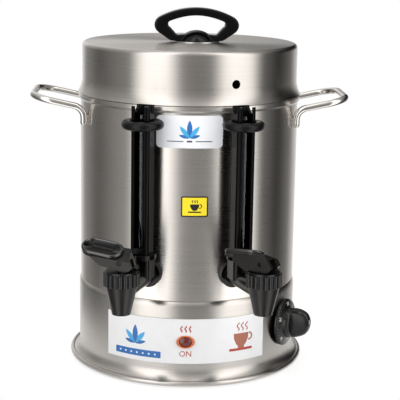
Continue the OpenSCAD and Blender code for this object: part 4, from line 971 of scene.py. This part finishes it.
# The ceiling: darker behind the object and towards the right, brighter in front
CEILING_FROM, CEILING_FULL, CEILING, CEILING_FALL, FRONT_CEILING = -0.03, 0.1, 0.6, 4.0, 0.12
REAR_FROM, REAR_FULL = -0.1, 0.4
BACKDROP_FROM, BACKDROP_FULL = 150.0, 170.0
ROOM_WARMTH = (1, 0.985, 0.97, 1)


def make_world():
    """A studio that is white behind the object and grey round it, with two soft strip lights."""
    world = bpy.data.worlds.new("studio")
    bpy.context.scene.world = world
    world.use_nodes = True
    tree = world.node_tree
    tree.nodes.clear()
    way = add(tree, "ShaderNodeTexCoord").outputs["Generated"]
    axes = add(tree, "ShaderNodeSeparateXYZ", {0: way})
    turn = maths(tree, "ARCTAN2", axes.outputs["X"], maths(tree, "MULTIPLY", axes.outputs["Y"], -1.0))
    azimuth = maths(tree, "MULTIPLY", turn, math.degrees(1))
    share = add(tree, "ShaderNodeMapRange", {0: azimuth, 1: -180.0, 2: 180.0}).outputs[0]
    ramp = add(tree, "ShaderNodeValToRGB", {0: share})
    while len(ramp.color_ramp.elements) < len(ROOM):
        ramp.color_ramp.elements.new(0.5)
    for stop, (place, grey) in zip(ramp.color_ramp.elements, ROOM):
        stop.position = (place + 180) / 360
        stop.color = (grey, grey, grey, 1)
    ramp.color_ramp.interpolation = "EASE"
    level = ramp.outputs[0]
    for middle, half, soft, strength in STRIPS:
        off = maths(tree, "ABSOLUTE", maths(tree, "SUBTRACT", azimuth, middle))
        strip = add(tree, "ShaderNodeMapRange", {0: off, 1: half - soft, 2: half + soft, 3: strength, 4: 0.0},
                    interpolation_type="SMOOTHSTEP").outputs[0]
        level = maths(tree, "ADD", level, strip)
    high = add(tree, "ShaderNodeMapRange", {0: axes.outputs["Z"], 1: CEILING_FROM, 2: CEILING_FULL},
               interpolation_type="SMOOTHSTEP").outputs[0]
    rear = add(tree, "ShaderNodeMapRange", {0: axes.outputs["Y"], 1: REAR_FROM, 2: REAR_FULL},
               interpolation_type="SMOOTHSTEP").outputs[0]
    over_rear = maths(tree, "MULTIPLY", high, rear)
    over_front = maths(tree, "SUBTRACT", high, over_rear)
    fall = maths(tree, "MULTIPLY_ADD", axes.outputs["X"], -CEILING_FALL * CEILING, CEILING)
    fall = maths(tree, "MAXIMUM", fall, 0.0)
    dim = add(tree, "ShaderNodeMapRange", {0: over_rear, 3: 1.0, 4: fall}).outputs[0]
    level = maths(tree, "MULTIPLY_ADD", over_front, FRONT_CEILING, maths(tree, "MULTIPLY", level, dim))
    above = add(tree, "ShaderNodeMapRange", {
        0: axes.outputs["Z"], 1: OVERHEAD_FROM, 2: OVERHEAD_FULL, 4: OVERHEAD},
        interpolation_type="SMOOTHSTEP").outputs[0]
    level = maths(tree, "ADD", level, above)
    room = add(tree, "ShaderNodeBackground", {"Color": ROOM_WARMTH, "Strength": level})
    white = add(tree, "ShaderNodeBackground", {"Color": (1, 1, 1, 1), "Strength": 1.0})
    paths = add(tree, "ShaderNodeLightPath")
    behind = add(tree, "ShaderNodeMapRange", {0: maths(tree, "ABSOLUTE", azimuth), 1: BACKDROP_FROM,
                                              2: BACKDROP_FULL}, interpolation_type="SMOOTHSTEP").outputs[0]
    behind = maths(tree, "MULTIPLY", behind, maths(tree, "SUBTRACT", 1.0, over_rear))
    mirrored = maths(tree, "MULTIPLY", paths.outputs["Is Glossy Ray"], behind)
    seen = maths(tree, "MAXIMUM", paths.outputs["Is Camera Ray"], paths.outputs["Is Transmission Ray"])
    seen = maths(tree, "MAXIMUM", seen, mirrored)
    both = add(tree, "ShaderNodeMixShader", {0: seen, 1: room.outputs[0], 2: white.outputs[0]})
    add(tree, "ShaderNodeOutputWorld", {"Surface": both.outputs[0]})


def softbox(name, azimuth, distance, height, width, tall, watts, aim=0.16):
    """A soft rectangular lamp that faces the object."""
    data = bpy.data.lights.new(name, "AREA")
    data.shape = "RECTANGLE"
    data.size, data.size_y = width, tall
    data.energy = watts
    lamp = bpy.data.objects.new(name, data)
    a = math.radians(azimuth)
    lamp.location = (distance * math.sin(a), -distance * math.cos(a), height)
    lamp.rotation_euler = (Vector((0, 0, aim)) - lamp.location).to_track_quat("-Z", "Y").to_euler()
    lamp.visible_glossy = False
    bpy.context.scene.collection.objects.link(lamp)


# The camera, fitted to the photo: lens in millimetres, place in metres, turns in degrees
CAMERA_LENS, CAMERA_SENSOR = 114.0, 36.0
CAMERA_PLACE = (-0.04166, -1.22327, 0.41867)
CAMERA_HEADING, CAMERA_DIP, CAMERA_ROLL = -2.519, 12.192, 0.983


def make_camera():
    data = bpy.data.cameras.new("camera")
    data.lens = CAMERA_LENS
    data.sensor_width = CAMERA_SENSOR
    data.clip_start, data.clip_end = 0.05, 60.0
    camera = bpy.data.objects.new("camera", data)
    heading = Matrix.Rotation(math.radians(CAMERA_HEADING), 4, "Z")
    pitch = Matrix.Rotation(math.radians(90 - CAMERA_DIP), 4, "X")
    roll = Matrix.Rotation(math.radians(CAMERA_ROLL), 4, "Z")
    camera.matrix_world = Matrix.Translation(CAMERA_PLACE) @ heading @ pitch @ roll
    bpy.context.scene.collection.objects.link(camera)
    bpy.context.scene.camera = camera


make_floor()
make_world()
softbox("left_softbox", -40.0, 1.7, 0.5, 1.1, 2.0, 3.0)
softbox("right_softbox", 51.5, 1.7, 0.5, 1.1, 2.0, 3.0)
softbox("top_softbox", 180.0, 0.5, 2.0, 1.2, 1.2, 10.0)
make_camera()
bpy.context.scene.view_settings.view_transform = "Standard"
